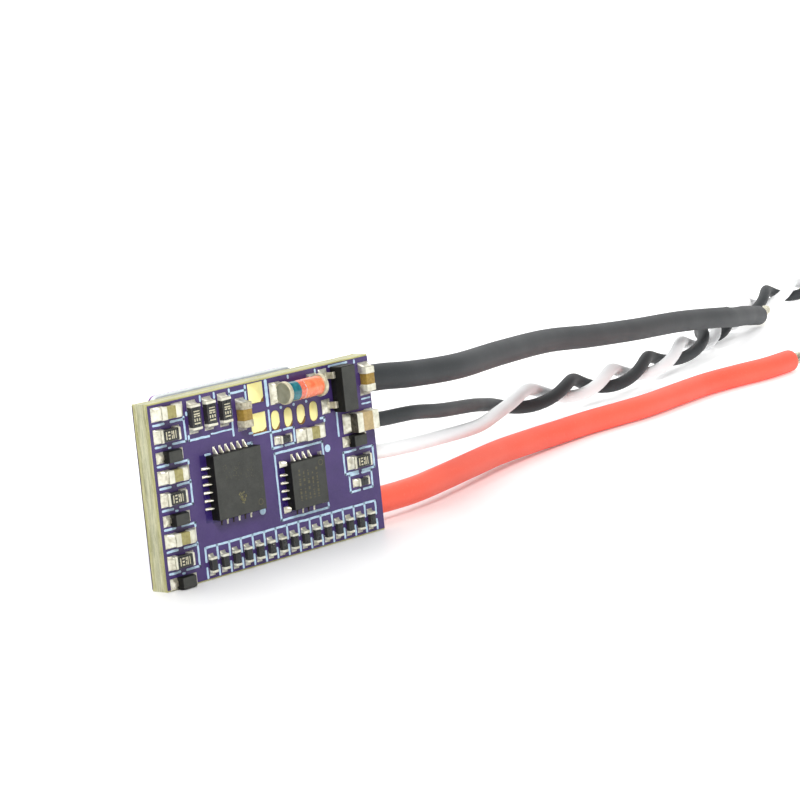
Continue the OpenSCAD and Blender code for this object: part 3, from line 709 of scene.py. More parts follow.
# Each chip part: its node, its place, whether it stands upright and its sort.
CHIPS = []
for i in range(3):
    drop = GROUP_PITCH * i
    CHIPS += [
        (f"bootstrap_capacitor_{i + 1}", (1.5, 10.8 - drop), False, TAN),
        (f"bootstrap_resistor_{i + 1}", (1.3, 9.45 - drop), False, CODED),
        (f"gate_resistor_{i + 1}", (3.5 + 1.28 * i, 10.15), True, CODED),
    ]
CHIPS += [
    ("driver_capacitor", (7.5, 9.6), True, BROWN),
    ("logic_capacitor", (13.3, 7.4), False, TAN),
    ("input_capacitor", (17.7, 7.4), False, PEACH),
    ("output_capacitor", (18.5, 10), True, CORNER_BROWN),
    ("supply_resistor", (17.3, 4.85), False, CODED),
    ("filter_resistor", (17.3, 3.5), False, PLAIN),
    ("reset_resistor", (10.85, 7.45), False, PLAIN),
]
ROW_PLACES = [(3.75 + i, 0.95) for i in range(15)]
SOD_PLACES = [("bootstrap_diode_%d" % (i + 1), (1.35, 8.15 - GROUP_PITCH * i)) for i in range(3)]
SOD_PLACES.append(("polarity_diode", (17.1, 6.25)))
SOD_BODY, SOD_LEAD = (1.2, 0.8, 0.6), (0.25, 0.3, 0.15)
SOD_PITCH, SOD_LAND = 1.6, (0.6, 0.7)
REGULATOR_LAND = (0.75, 0.95)
REGULATOR_LANDS_AT = [(14.85, 10.75), (14.85, 8.8), (17.35, 9.8)]
SQUARE_PADS_AT = [(8.92, 10.7), (8.92, 8.8)]
OVAL_PADS_AT = [(10.37 + 1.12 * i, 8.7) for i in range(4)]


def land_shift(sort):
    """How far a part's lands are moved to the left of the part."""
    return 0.15 if sort is PEACH else 0.0


def land_rectangles():
    """Every tinned land on the logic side as (low x, low z, high x, high z)."""
    found = []

    def pair(at, pitch, size, upright):
        for side in (-1, 1):
            w, h = (size[1], size[0]) if upright else size
            x = at[0] + (0 if upright else side * pitch / 2)
            z = at[1] + (side * pitch / 2 if upright else 0)
            found.append((x - w / 2, z - h / 2, x + w / 2, z + h / 2))

    for _, (x, z), upright, sort in CHIPS:
        pair((x - land_shift(sort), z), sort.pitch, sort.land, upright)
    for at in ROW_PLACES:
        pair(at, IN_ROW.pitch, IN_ROW.land, True)
    for _, at in SOD_PLACES:
        pair(at, SOD_PITCH, SOD_LAND, False)
    pair(DIODE_AT, DIODE_PITCH, DIODE_LAND, False)
    for x, z in REGULATOR_LANDS_AT:
        w, h = REGULATOR_LAND
        found.append((x - w / 2, z - h / 2, x + w / 2, z + h / 2))
    return found


LANDS = land_rectangles()


# ---------------------------------------------------------------- board

def board_core():
    """The laminate, with sawn edges that are a little uneven. It never stands past the board's outline."""
    shape = Shape()
    step = 0.25
    outline = []
    corners = [(0, 0), (BOARD_W, 0), (BOARD_W, BOARD_H), (0, BOARD_H)]
    for a, b in zip(corners, corners[1:] + corners[:1]):
        length = abs(b[0] - a[0]) + abs(b[1] - a[1])
        count = round(length / step)
        out = Vector((b[1] - a[1], a[0] - b[0])).normalized()
        for i in range(count):
            outline.append((a[0] + (b[0] - a[0]) * i / count, a[1] + (b[1] - a[1]) * i / count, out, i))
    rings = []
    layers = 9
    for k in range(layers + 1):
        y = FRONT_Y + MASK_T + (BOARD_T - 2 * MASK_T) * k / layers
        points = []
        for x, z, out, i in outline:
            arris = 0.012 if k in (0, layers) else 0
            cut = 0.006 + 0.016 * (1 + wobble(x * 1.1 + z * 1.3, k * 2.3)) + arris
            dx, dz = (out.x, out.y) if i else (0, 0)
            points.append((x - BOARD_W / 2 - cut * dx, y, z - cut * dz))
        rings.append(points)
    shape.loft(rings, "laminate")
    return shape.make("board_laminate", "substrate", "laminate", smooth=60)


board_core()


def ink_strokes():
    """Every printed line as (one end, other end, width), and every printed dot as (place, diameter)."""
    lines = []

    def strokes(*ends, width=0.14):
        """Lines from x, z to x, z."""
        lines.extend(((x0, z0), (x1, z1), width) for x0, z0, x1, z1 in ends)

    def box(x0, z0, x1, z1, gap):
        """A frame with a gap in the middle of its upper and lower lines."""
        mid = (x0 + x1) / 2
        for z in (z0, z1):
            strokes((x0, z, mid - gap / 2, z), (mid + gap / 2, z, x1, z))
        strokes((x0, z0, x0, z1), (x1, z0, x1, z1))

    # Brackets round the groups at the left end.
    for i in range(3):
        z = 11.5 - GROUP_PITCH * i
        for line_z in ([] if i == 0 else [z]) + [z - 1.35, z - 2.7]:
            strokes((0.3, line_z, 1.15, line_z), (1.7, line_z, 2.78, line_z))
        strokes((2.78, min(z, BOARD_H - MASK_RIM - 0.15), 2.78, z - 2.7))
        strokes((1.35, z - 2.87, 1.5, z - 2.87), width=0.12)
    # Lines along the top, from the gate resistors to the regulator.
    top = BOARD_H - MASK_RIM - 0.12
    strokes((3.04, top, 3.04, 10.35), (3.04, 9.8, 3.04, 8.76), (3.04, 8.76, 4.7, 8.76))
    strokes((4.9, 8.84, 6.6, 8.84), width=0.1)
    strokes((4.28, top, 4.28, 11), (5.44, top, 5.44, 11), (6.72, top, 6.72, 8.42), (6.72, 11.02, 8.06, 11.02),
            (8.06, top, 8.06, 10.3), (7.9, 8.3, 8.3, 8.3))
    strokes((8.4, 8.12, 9.7, 8.12), width=0.1)
    strokes((9.84, top, 9.84, 9.78), width=0.24)
    strokes((9.84, 9.42, 9.84, 8.1), *((x, top, x, 11.15) for x in (11.8, 14.2, 17.76)),
            (15.45, 11.27, 17.08, 11.27))
    strokes(*((18.1, z, 18.86, z) for z in (8.4, 8.72)), width=0.1)
    # Frames round single parts.
    box(9.84, 7.02, 11.84, 8.02, 0.25)
    strokes((14.58, 6.95, 14.58, 8.14), (14.25, 8.14, 14.58, 8.14), (15.73, 6.75, 15.73, 8.25))
    box(15.95, 4.2, 18.64, 5.6, 0.4)
    box(16.27, 2.98, 18.3, 4.06, 0.35)
    # Corners of the gate driver and the frame of the microcontroller.
    strokes((4.2, 7.65, 4.6, 7.65), (7.8, 7.7, 8.15, 7.7), (8.15, 7.7, 8.15, 7.45),
            (9.96, 2.42, 14.18, 2.42), (9.96, 6.66, 14.18, 6.66), (9.96, 2.42, 9.96, 6.66),
            (14.18, 5.8, 14.18, 6.66), (14.18, 2.42, 14.18, 2.7))
    # The comb round the row of resistors.
    for i in range(16):
        x = 3.35 + i
        strokes((x, 2.04, x, 1.2), (x, 0.8, x, 0.2), width=0.15)
    strokes((3.35, 2.04, 18.35, 2.04))
    dots = [((10.93 + 1.12 * i, 9.43), 0.19) for i in range(3)] + [((8.45, 3.35), 0.5), ((14.6, 6.15), 0.48)]
    return lines, dots


def on_land(x, z, margin=0.03):
    return any(a - margin < x < c + margin and b - margin < z < d + margin for a, b, c, d in LANDS)


def legend():
    """Printed lines with slightly uneven edges, left out where there is a land."""
    shape = Shape()
    flat = on_front((0, 0))
    lines, dots = ink_strokes()
    step = 0.07
    for number, (a, b, w) in enumerate(lines):
        a, b = Vector(a), Vector(b)
        length = (b - a).length
        count = max(2, round(length / step))
        t = (b - a).normalized()
        s = Vector((-t.y, t.x))
        run = []
        runs = []
        for i in range(count + 1):
            p = a + (b - a) * i / count
            if on_land(p.x, p.y):
                if len(run) > 1:
                    runs.append(run)
                run = []
                continue
            grow = 1 + 0.16 * wobble(p.x * 4, p.y * 4, number) + 0.05 * rng.uniform(-1, 1)
            shift = 0.02 * wobble(p.x * 2.5, p.y * 2.5, number + 0.5)
            run.append((p + s * shift, w / 2 * grow))
        if len(run) > 1:
            runs.append(run)
        for run in runs:
            left = [p + s * h for p, h in run]
            right_side = [p - s * h for p, h in run]
            (p, h), (q, g) = run[-1], run[0]
            tip = [p + t * h * math.cos(a) + s * h * math.sin(a) for a in (0.9, 0.0, -0.9)]
            tail = [q - t * g * math.cos(a) + s * g * math.sin(a) for a in (-0.9, 0.0, 0.9)]
            outline = left + tip + right_side[::-1] + tail
            n, m = len(outline), len(run)
            # The top is in quads along the run, with a rounded end piece at each end.
            top = [[n + k, n + k + 1, n + n - 5 - k, n + n - 4 - k] for k in range(m - 1)]
            top.append([n + m - 1, n + m, n + m + 1, n + m + 2, n + m + 3])
            top.append([n, n + n - 4, n + n - 3, n + n - 2, n + n - 1])
            shape.patch(outline, -0.01, INK_T * 0.95, "ink", flat, top)
    for (x, z), d in dots:
        def radius(q):
            return d / 2 * (1 + 0.06 * wobble(math.cos(q) * 1.5 + x, math.sin(q) * 1.5 + z))
        shape.patch(round_outline(x, z, radius, 28), -0.01, INK_T * 0.95, "ink", flat)
    return shape.make("legend_print", "legend", "legend_ink")


legend()


def outline_plate(shape, outline, low, high, material, turn, edge=0.02):
    """A flat plate with a softened upper edge, from a closed outline that runs anticlockwise."""
    n = len(outline)
    centre = sum((Vector(p) for p in outline), Vector((0, 0))) / n
    inner = [Vector(p) + (centre - Vector(p)).normalized() * edge for p in outline]
    rings = [[(u, v, low) for u, v in outline], [(u, v, high - edge * 0.5) for u, v in outline],
             [(p.x, p.y, high) for p in inner]]
    shape.loft(rings, material, turn)


CORNERS = [(-1, -1), (1, -1), (1, 1), (-1, 1)]
# How far up the gold is torn from the lower end of each pad.
TEAR = (0.02, 0.2)
OVAL_TEAR = (0.16, 0.13, 0.2, 0.03)


def test_pads():
    """Gold pads over a darker bed, which shows where the gold's lower end and corners are torn away."""
    shape = Shape()
    flat = on_front((0, 0))
    for number, (x, z) in enumerate(SQUARE_PADS_AT):
        half = 0.63
        bed = [(x + half * a, z + half * b) for a, b in CORNERS]
        outline_plate(shape, bed, -MASK_T, -0.004, "gold_edge", flat, 0.01)
        outline = []
        for a, b in zip(CORNERS, CORNERS[1:] + CORNERS[:1]):
            for i in range(16):
                u = half * (a[0] + (b[0] - a[0]) * i / 16)
                v = half * (a[1] + (b[1] - a[1]) * i / 16)
                if v < -0.3:
                    torn = TEAR[number] * (0.4 + abs(wobble(u * 3.1, number * 3.7 + 0.4)))
                    v += torn * ease((-v - 0.3) / 0.2)
                over = u - v - 0.98
                if over > 0:
                    u -= over * 0.6
                    v += over * 0.6
                outline.append((x + u, z + v))
        outline_plate(shape, outline, -MASK_T, 0.004, "gold", flat)
    for number, (x, z) in enumerate(OVAL_PADS_AT):
        rings = []
        for half_w, half_h, torn in ((0.36, 0.635, 0.0), (0.35, 0.625, OVAL_TEAR[number])):
            outline = []
            n = 48
            for k in range(n):
                q = 2 * math.pi * k / n
                u = half_w * math.copysign(abs(math.cos(q)) ** 0.8, math.cos(q))
                v = half_h * math.copysign(abs(math.sin(q)) ** 0.62, math.sin(q))
                if v < -0.1:
                    depth = ease((-v - 0.1) / 0.4)
                    across = 0.35 + 1.1 * ease((u + 0.12) / 0.4) + 0.3 * wobble(u * 6, number * 5.1, 2.0)
                    v += torn * depth * across
                outline.append((x + u, z + v))
            rings.append(outline)
        outline_plate(shape, rings[0], -MASK_T, -0.004, "gold_edge", flat, 0.01)
        outline_plate(shape, rings[1], -MASK_T, 0.004, "gold", flat)
    return shape.make("gold_test_pads", "test_pads", "gold_plate")


test_pads()


def fillet_height(u, ends, reach, top, low=0.012):
    """Height of a solder fillet at u: up the end face at ends, fading over reach."""
    d = max(0.0, abs(u) - ends)
    return low + (top - low) * max(0.0, 1 - d / reach) ** 1.7


# How far solder reaches past a part's end where mask has crept over its land, and how wide it is there.
CREPT_SPILL, CREPT_W = 0.24, 0.74
ROW_SPILL, ROW_SPILL_W = 0.19, 0.45
# How much of a part's height its solder climbs, and the same for the large pale capacitor.
CLIMB, LOW_CLIMB = 0.86, 0.3


def chip_solder(shape, at, size, height, pitch, land, upright, seed, shift=0.0, spill=None, wide=None,
                climb=CLIMB):
    """Solder on a part's two lands. shift moves the lands to the left of the part. Where mask has crept over
    the rest of a land, spill is how far the solder reaches past the part's end and wide is how wide it is."""
    turn = on_front((at[0] - shift, at[1]), 90 if upright else 0)
    for side in (-1, 1):
        inner = pitch / 2 - land[0] / 2
        outer = pitch / 2 + land[0] / 2
        end = size[0] / 2 + side * shift
        half_wide = land[1] / 2
        if spill is not None:
            a, b = sorted((side * inner, side * outer))
            shape.block((a, -half_wide, -MASK_T), (b, half_wide, -0.002), 0.0, "mask", turn)
            outer = end + spill
            half_wide = wide / 2
        low = (min(side * inner, side * outer) + 0.01, -half_wide + 0.01)
        high = (max(side * inner, side * outer) - 0.01, half_wide - 0.01)
        top = height * (climb + 0.1 * wobble(seed, side * 3.0))
        reach = outer - end

        def rise(u, v):
            across = min(1.0, (half_wide - abs(v)) / 0.1)
            h = fillet_height(u, end - 0.02, reach * 1.02, top)
            if abs(v) > size[1] / 2 and abs(u) < end:
                h = min(h, height * 0.3)
            lumps = 1 + 0.14 * wobble(u * 5 + seed, v * 5, seed)
            edge = min(1.0, (outer - abs(u)) / 0.05)
            return max(0.004, h * lumps * (0.3 + 0.7 * ease(across)) * (0.4 + 0.6 * ease(edge)))

        shape.field(low, high, (12, 10), rise, "solder", turn, foot=-MASK_T)


def chip_lands():
    """Every tinned land on the logic side, with the solder that climbs the part on it."""
    shape = Shape()
    for number, (_, at, upright, sort) in enumerate(CHIPS):
        crept = upright and sort is not CORNER_BROWN
        chip_solder(shape, at, sort.size, sort.height, sort.pitch, sort.land, upright, number * 1.37,
                    land_shift(sort), CREPT_SPILL if crept else None, CREPT_W,
                    LOW_CLIMB if sort is PEACH else CLIMB)
    size, height, _, pitch, land, _, _ = IN_ROW
    for number, at in enumerate(ROW_PLACES):
        chip_solder(shape, at, size, height, pitch, land, True, 40 + number * 1.91,
                    spill=ROW_SPILL, wide=ROW_SPILL_W)
    for number, (_, at) in enumerate(SOD_PLACES):
        over_leads = (SOD_BODY[0] + 2 * SOD_LEAD[0], SOD_LEAD[1])
        chip_solder(shape, at, over_leads, 0.2, SOD_PITCH, SOD_LAND, False, 80 + number * 2.3)
    chip_solder(shape, DIODE_AT, (DIODE_L, DIODE_D * 0.8), 0.3, DIODE_PITCH, DIODE_LAND, False, 91.0)
    for number, at in enumerate(REGULATOR_LANDS_AT):
        w, h = REGULATOR_LAND

        def rise(u, v):
            toe = math.exp(-(u / 0.3) ** 2 - (v / 0.3) ** 2)
            edge = ease(min(w / 2 - abs(u), h / 2 - abs(v)) / 0.1)
            return 0.006 + (0.05 + 0.12 * toe) * edge * (1 + 0.2 * wobble(u * 5, v * 5, number))

        shape.field((-w / 2 + 0.01, -h / 2 + 0.01), (w / 2 - 0.01, h / 2 - 0.01), (12, 12), rise, "solder",
                    on_front(at), foot=-MASK_T)
    return shape.make("chip_land_solder", "chip_lands", "tin", smooth=60)


chip_lands()


# ---------------------------------------------------------------- chip parts

def round_rectangle(half_w, low, high, r, n=5):
    """Points round a rectangle in v and h with rounded corners."""
    points = []
    mid = (low + high) / 2
    half_h = (high - low) / 2
    for cx, cy, start in ((1, 1, 0), (-1, 1, 90), (-1, -1, 180), (1, -1, 270)):
        for k in range(n):
            a = math.radians(start + 90 * k / (n - 1))
            points.append((cx * (half_w - r) + r * math.cos(a), mid + cy * (half_h - r) + r * math.sin(a)))
    return points


# Printed bars on a coded resistor as (low u, high u, low v, high v).
CODE_BARS = [
    (-0.43, -0.35, -0.24, 0.24), (-0.25, -0.08, 0.15, 0.24), (-0.25, -0.08, -0.05, 0.05),
    (-0.25, -0.08, -0.24, -0.15), (0.02, 0.1, -0.24, -0.03), (0.02, 0.1, 0.04, 0.24),
    (0.15, 0.23, -0.24, 0.24), (0.33, 0.39, -0.24, 0.24),
]


def chip(shape, at, sort, upright, seed):
    turn = on_front(at, 90 if upright else 0)
    (length, width), height, end_l, kind = sort.size, sort.height, sort.end_l, sort.kind
    inset = 0.03
    # The ceramic, with softened edges.
    low = (-length / 2 + inset, -width / 2 + inset, inset)
    high = (length / 2 - inset, width / 2 - inset, height - inset)
    if kind not in ("coded", "plain"):
        shape.block(low, high, 0.025, kind, turn)
    else:
        # The top face's lighter rim round the glaze is a painted highlight along the edges.
        shape.block(low, high, 0.012, "resistor", turn, segments=1, top="rim")
        glaze_l = length / 2 - end_l + 0.02
        shape.block((-glaze_l, -width / 2 + inset + 0.03, height - inset - 0.02),
                    (glaze_l, width / 2 - inset - 0.03, height - 0.008), 0.012, "glaze", turn)
    if kind == "coded":
        h0, h1 = height - 0.012, height - 0.003
        for u0, u1, v0, v1 in CODE_BARS:
            shape.block((u0, v0, h0), (u1, v1, h1), 0.003, "code", turn, segments=1)
    # A metal end wrapped round each end, with an uneven inner edge and an end face darkened with painted
    # shade.
    n = 5
    for side in (-1, 1):
        rings = []
        for u, shrink in ((0.0, 0.05), (0.008, 0.024), (0.03, 0.006), (0.06, 0.0)):
            ring_points = round_rectangle(width / 2 - shrink, shrink, height - shrink, 0.06, n)
            rings.append([(side * (length / 2 - u), v, h) for v, h in ring_points])
        for shrink, drop in ((0.0, 0.03), (0.004, 0.01), (0.024, 0.0)):
            ring_points = round_rectangle(width / 2 - shrink, shrink, height - shrink, 0.05, n)
            points = []
            for k, (v, h) in enumerate(ring_points):
                ragged = 0.03 * wobble(v * 5 + seed, h * 5, side * 2.0 + seed)
                points.append((side * (length / 2 - end_l + drop + ragged), v, h))
            rings.append(points)
        # The large pale capacitor's left end face has a deeper painted shade than the other end faces.
        face = "left_end_deep_shade" if kind == "peach" and side < 0 else "end_painted_shade"
        # The driver capacitor's terminations are darkened all over with painted shade.
        skin = "whole_end_painted_shade" if sort is BROWN else "termination"
        shape.loft(rings, skin, turn, skins=[face] * 2 + [skin] * 4)


def body_name(node):
    """driver_capacitor gives driver_capacitor_body, and mosfet_2 gives mosfet_body_2."""
    stem, _, last = node.rpartition("_")
    return f"{stem}_body_{last}" if last.isdigit() else node + "_body"


for number, (node, at, upright, sort) in enumerate(CHIPS):
    part = Shape()
    chip(part, at, sort, upright, number * 2.17)
    part.make(body_name(node), node, sort.slot)

row = Shape()
for number, at in enumerate(ROW_PLACES):
    chip(row, at, IN_ROW, True, 60 + number * 1.3)
row.make("resistor_row_bodies", "resistor_row", IN_ROW.slot)


def sod_diode(name, node, at):
    """A small moulded diode: tapered body, flat leads out of both ends."""
    shape = Shape()
    turn = on_front(at)
    l, w, t = SOD_BODY
    rings = []
    levels = [(0.06, -0.05), (0.09, -0.02), (0.3, 0.0), (t - 0.05, -0.045), (t - 0.015, -0.06), (t, -0.09)]
    for h, grow in levels:
        points = [(l / 2 * a + grow * a, w / 2 * b + grow * b, h) for a, b in CORNERS]
        ring_points = []
        for k in range(4):
            p, q = Vector(points[k]), Vector(points[(k + 1) % 4])
            ring_points += [p.lerp(q, 0.05), p.lerp(q, 0.95)]
        rings.append(ring_points)
    # The walls are painted shade; only the top has the plain moulding.
    shape.loft(rings, "mould_painted_shade", turn, skins=["mould_painted_shade"] * 4 + ["mould"])
    for side in (-1, 1):
        ll, lw, lt = SOD_LEAD
        shape.block((side * (l / 2 - 0.1), -lw / 2, 0.03), (side * (l / 2 + ll), lw / 2, 0.03 + lt), 0.02,
                    "tin", turn)
    shape.block((-l / 2 + 0.16, -w / 2 + 0.1, t - 0.01), (-l / 2 + 0.26, w / 2 - 0.1, t - 0.001), 0.002,
                "faint_mark", turn, segments=1)
    return shape.make(name, node, "moulding_compound")


for node, at in SOD_PLACES:
    sod_diode(node + "_body", node, at)


# ---------------------------------------------------------------- integrated circuits

def leadless(at, w, t, dimple_at):
    """A sawn square circuit: matt top with a dimple by its first land, smoother sides darkened with painted
    shade.
    """
    shape = Shape()
    turn = on_front(at)
    half, edge = w / 2, 0.02
    shape.block((-half, -half, edge), (half, half, t), edge, "mould_painted_shade", turn, segments=1, top="mould")
    for size, material, height in ((0.2, "faint_mark", MARK_T), (0.16, "mould", MARK_T + 0.001)):
        shape.patch(round_outline(*dimple_at, lambda a: size, 24), t - 0.01, t + height, material, turn)
    return shape, turn


def blotch(shape, turn, cx, cy, size, height, seed, material):
    """A small flat mark of no particular shape."""
    def radius(q):
        return size * (0.7 + 0.6 * wobble(math.cos(q) * 1.3 + seed, math.sin(q) * 1.3, seed))
    shape.patch(round_outline(cx, cy, radius, 18), height - 0.01, height, material, turn)


driver, driver_turn = leadless(DRIVER_AT, DRIVER_W, DRIVER_T, (1.55, -1.5))
for k in range(60):
    u, v = rng.uniform(-0.2, 0.5), rng.uniform(-1.4, -0.6)
    if abs(u - 0.15) < (v + 1.45) * 0.55:
        blotch(driver, driver_turn, u, v, rng.uniform(0.03, 0.06), DRIVER_T + MARK_T, k * 1.7, "mark")
for k in range(60):
    u, v = rng.uniform(-1.3, 1.2), rng.uniform(0.2, 1.3)
    blotch(driver, driver_turn, u, v, rng.uniform(0.02, 0.04), DRIVER_T + MARK_T, k * 2.9, "faint_mark")
driver.make("gate_driver_body", "gate_driver", "moulding_compound")

mcu, mcu_turn = leadless(MCU_AT, MCU_W, MCU_T, (1.1, 1.1))
for line in range(5):
    v = -1.0
    u = -0.85 + 0.38 * line
    while v < 0.85:
        reach = rng.choice((0.06, 0.12, 0.18))
        w = rng.choice((0.05, 0.08))
        mcu.block((u - w, v, MCU_T - 0.01), (u + w, v + reach, MCU_T + MARK_T), 0.0, "faint_mark", mcu_turn)
        v += reach + rng.choice((0.07, 0.1, 0.2))
mcu.make("microcontroller_body", "microcontroller", "moulding_compound")


JOINT_HALF = 0.11
# Quarter turns, from the side on the right, that bring a joint to these sides of its circuit.
LEFT, DOWN = 2, 3


def leadless_joints(name, node, at, w, count, length, slope_top, corners):
    """Solder joints that lean against the sides of a leadless circuit, over darker mask that is a painted
    shadow of the circuit on its left and lower sides.
    """
    shape = Shape()
    side = w / 2
    flat = on_front(at)
    # Painted shadow: darker mask to the left of and below the circuit, where its shadow falls.
    shape.block((-side - 0.5, -side - 0.1, -0.01), (-side, side + 0.1, 0.003), 0.0, "circuit_shadow", flat)
    shape.block((-side, -side - 0.2, -0.01), (side, -side, 0.003), 0.0, "circuit_shadow", flat)
    for quarter in range(4):
        # The joints on the lower side are thinner and lower, and every other one is darkened with painted
        # shade.
        half = JOINT_HALF * (0.6 if quarter == DOWN else 0.85)
        top = slope_top * (0.45 if quarter == DOWN else 1)
        for i in range(count):
            v0 = (i - (count - 1) / 2) * LAND_PITCH
            seed = quarter * 7.3 + i * 1.9
            skin = "joint_painted_shade" if quarter == DOWN and i % 2 == 0 else "solder"

            def rise(u, v):
                f = min(1.0, max(0.0, (u - side) / length))
                taper = math.sin(math.pi * (0.25 + 0.7 * f)) ** 0.6 if quarter == LEFT else 1 - 0.55 * f
                along_it = (1 - f) ** 0.8 * ease((1.02 - f) / 0.2)
                across = max(0.0, 1 - ((v - v0) / (half * taper + 0.001)) ** 2)
                return 0.003 + top * along_it * across ** 0.6 * (1 + 0.1 * wobble(u * 6, v * 6, seed))

            shape.field((side - 0.02, v0 - half), (side + length, v0 + half), (12, 10), rise, skin,
                        on_front(at, 90 * quarter))
    if corners:
        cl, cw = corners
        for x, y in ((-1, -1), (-1, 1), (1, -1), (1, 1)):
            cx, cy = x * (w + cl) / 2, y * (w - 0.1) / 2

            def rise(u, v):
                fade = max(0.0, 1 - max(0.0, (abs(u) - side) / cl)) ** 1.3
                across = max(0.0, 1 - ((v - cy) / (cw / 2)) ** 2) ** 0.5
                return 0.004 + 0.3 * fade * across * (1 + 0.35 * wobble(u * 4, v * 4, x + y * 2.2))

            low, high = (cx - cl / 2, cy - cw / 2), (cx + cl / 2, cy + cw / 2)
            shape.field(low, high, (10, 10), rise, "solder", flat)
    return shape.make(name, node, "solder", smooth=60)


leadless_joints("gate_driver_solder", "gate_driver_joints", DRIVER_AT, DRIVER_W, 6, 0.45, 0.34, None)
leadless_joints("microcontroller_solder", "microcontroller_joints", MCU_AT, MCU_W, 4, 0.42, 0.3, (0.38, 0.42))


# ---------------------------------------------------------------- regulator and glass diode

def smooth_profile(points, r, n=4):
    """A closed outline with its corners rounded."""
    out = []
    count = len(points)
    for i in range(count):
        a, b, c = Vector(points[i - 1]), Vector(points[i]), Vector(points[(i + 1) % count])
        cut = min(r, (a - b).length * 0.45, (c - b).length * 0.45)
        p, q = b + (a - b).normalized() * cut, b + (c - b).normalized() * cut
        for k in range(n + 1):
            f = k / n
            out.append((1 - f) ** 2 * p + 2 * f * (1 - f) * b + f ** 2 * q)
    return out


def extrude_along_board(shape, profile, l, middle, turn, material, edge=0.02):
    """A profile in x and height drawn out along the board's height, with softened ends."""
    centre = sum(profile, Vector((0, 0))) / len(profile)
    rings = []
    for v, shrink in ((-l / 2, edge), (-l / 2 + edge, 0.0), (l / 2 - edge, 0.0), (l / 2, edge)):
        ring_points = []
        for p in profile:
            q = p + (centre - p).normalized() * shrink
            ring_points.append((q.x, middle + v, q.y))
        rings.append(ring_points)
    shape.loft(rings, material, turn)


# Both profiles are places in x and height. The body's top face is a separate thin block.
REGULATOR_PROFILE = [(-0.66, 0.1), (0.66, 0.1), (0.7, 0.55), (0.6, 1.088), (-0.6, 1.088), (-0.7, 0.55)]
LEAD_PROFILE = [(0.69, 0.48), (0.86, 0.48), (0.98, 0.0), (1.25, 0.0), (1.25, 0.13), (1.07, 0.13),
                (0.95, 0.62), (0.69, 0.62)]
REGULATOR_L, GULL_W, GULL_PITCH = 2.9, 0.42, 1.9
regulator = Shape()
regulator_turn = on_front(REGULATOR_AT)
# The walls are painted shade; the thin top block has the plain moulding.
extrude_along_board(regulator, smooth_profile(REGULATOR_PROFILE, 0.05), REGULATOR_L, 0.0, regulator_turn,
                    "mould_painted_shade", 0.04)
regulator.block((-0.585, -1.42, 1.07), (0.585, 1.42, 1.1), 0.01, "mould", regulator_turn, segments=1)
regulator.make("voltage_regulator_body", "voltage_regulator", "moulding_compound")

leads = Shape()
for turn, middle in ((0, 0.0), (180, -GULL_PITCH / 2), (180, GULL_PITCH / 2)):
    extrude_along_board(leads, smooth_profile(LEAD_PROFILE, 0.06), GULL_W, middle,
                        on_front(REGULATOR_AT, turn), "tin")
leads.make("regulator_gull_leads", "regulator_leads", "tin")


def turned(shape, turn, profile, height, skins, sides=48):
    """A body of revolution along x, with its axis at that height. profile is (x, radius) pairs."""
    rings = [[(x, v, h) for v, h in round_outline(0, height, lambda a: r, sides)] for x, r in profile]
    shape.loft(rings, skins[0], turn, skins)


diode_turn = on_front(DIODE_AT)
AXIS_H = 0.05 + DIODE_D / 2
glass = Shape()
glass_profile = [(-1.42, 0.55), (-1.4, 0.6), (-1.3, 0.62), (-1.1, 0.625), (-0.85, 0.622), (-0.62, 0.622),
                 (-0.4, 0.625), (-0.18, 0.625), (0.1, 0.625), (0.5, 0.625), (0.9, 0.625), (1.25, 0.622),
                 (1.4, 0.6), (1.42, 0.55)]
# The rose bands are a painted highlight on the red glass.
glass_skins = ["glass_teal"] * 5 + ["glass_rose"] * 2 + ["glass_red"] * 6
turned(glass, diode_turn, glass_profile, AXIS_H, glass_skins)
# A thin uneven pale ring where the rose band, a painted highlight, meets the red.
RING_SIDES = 72
BLOCK_FACES = [[1, 3, 7, 5], [0, 4, 6, 2], [0, 2, 3, 1], [4, 5, 7, 6], [0, 1, 5, 4], [2, 6, 7, 3]]
for k in range(RING_SIDES):
    if wobble(k * 0.31, 4.2) < -0.28:
        continue
    a, b = 2 * math.pi * k / RING_SIDES, 2 * math.pi * (k + 1) / RING_SIDES
    points = []
    for q in (a, b):
        mid = -0.18 + 0.09 * wobble(math.cos(q) * 1.6, math.sin(q) * 1.6, 3.0)
        half = 0.028 + 0.022 * wobble(math.cos(q) * 4, math.sin(q) * 4, 8.0)
        for x in (mid - half, mid + half):
            for r in (0.61, 0.629):
                points.append((x, r * math.cos(q), AXIS_H + r * math.sin(q)))
    glass.add(points, BLOCK_FACES, "glass_line", diode_turn)
glass.make("glass_diode_sleeve", "glass_diode", "diode_glass")

CAP_PROFILE = [(1.39, 0.5), (1.4, 0.68), (1.41, 0.71), (1.44, 0.725), (1.6, 0.725), (1.66, 0.715),
               (1.69, 0.69), (1.7, 0.65), (1.69, 0.61), (1.68, 0.58), (1.685, 0.3), (1.68, 0.02)]
# The flat outer face of each cap is the cap metal with painted shade.
cap_skins = ["diode_cap"] * 7 + ["diode_face"] * 4
caps = Shape()
for side in (-1, 1):
    turned(caps, diode_turn, [(side * x, r) for x, r in CAP_PROFILE], AXIS_H, cap_skins)
caps.make("glass_diode_end_caps", "glass_diode_caps", "diode_caps", smooth=50)


# ---------------------------------------------------------------- power side

PLATE_W, PLATE_T, PLATE_R = 12.1, 0.5, 0.6
PLATE_MID = (2.4 + PLATE_W / 2, BOARD_H / 2)
MOSFET_W, MOSFET_T = 3.3, 0.8
PAD_W, PAD_H, PAD_T = 11.2, 10.6, 0.1


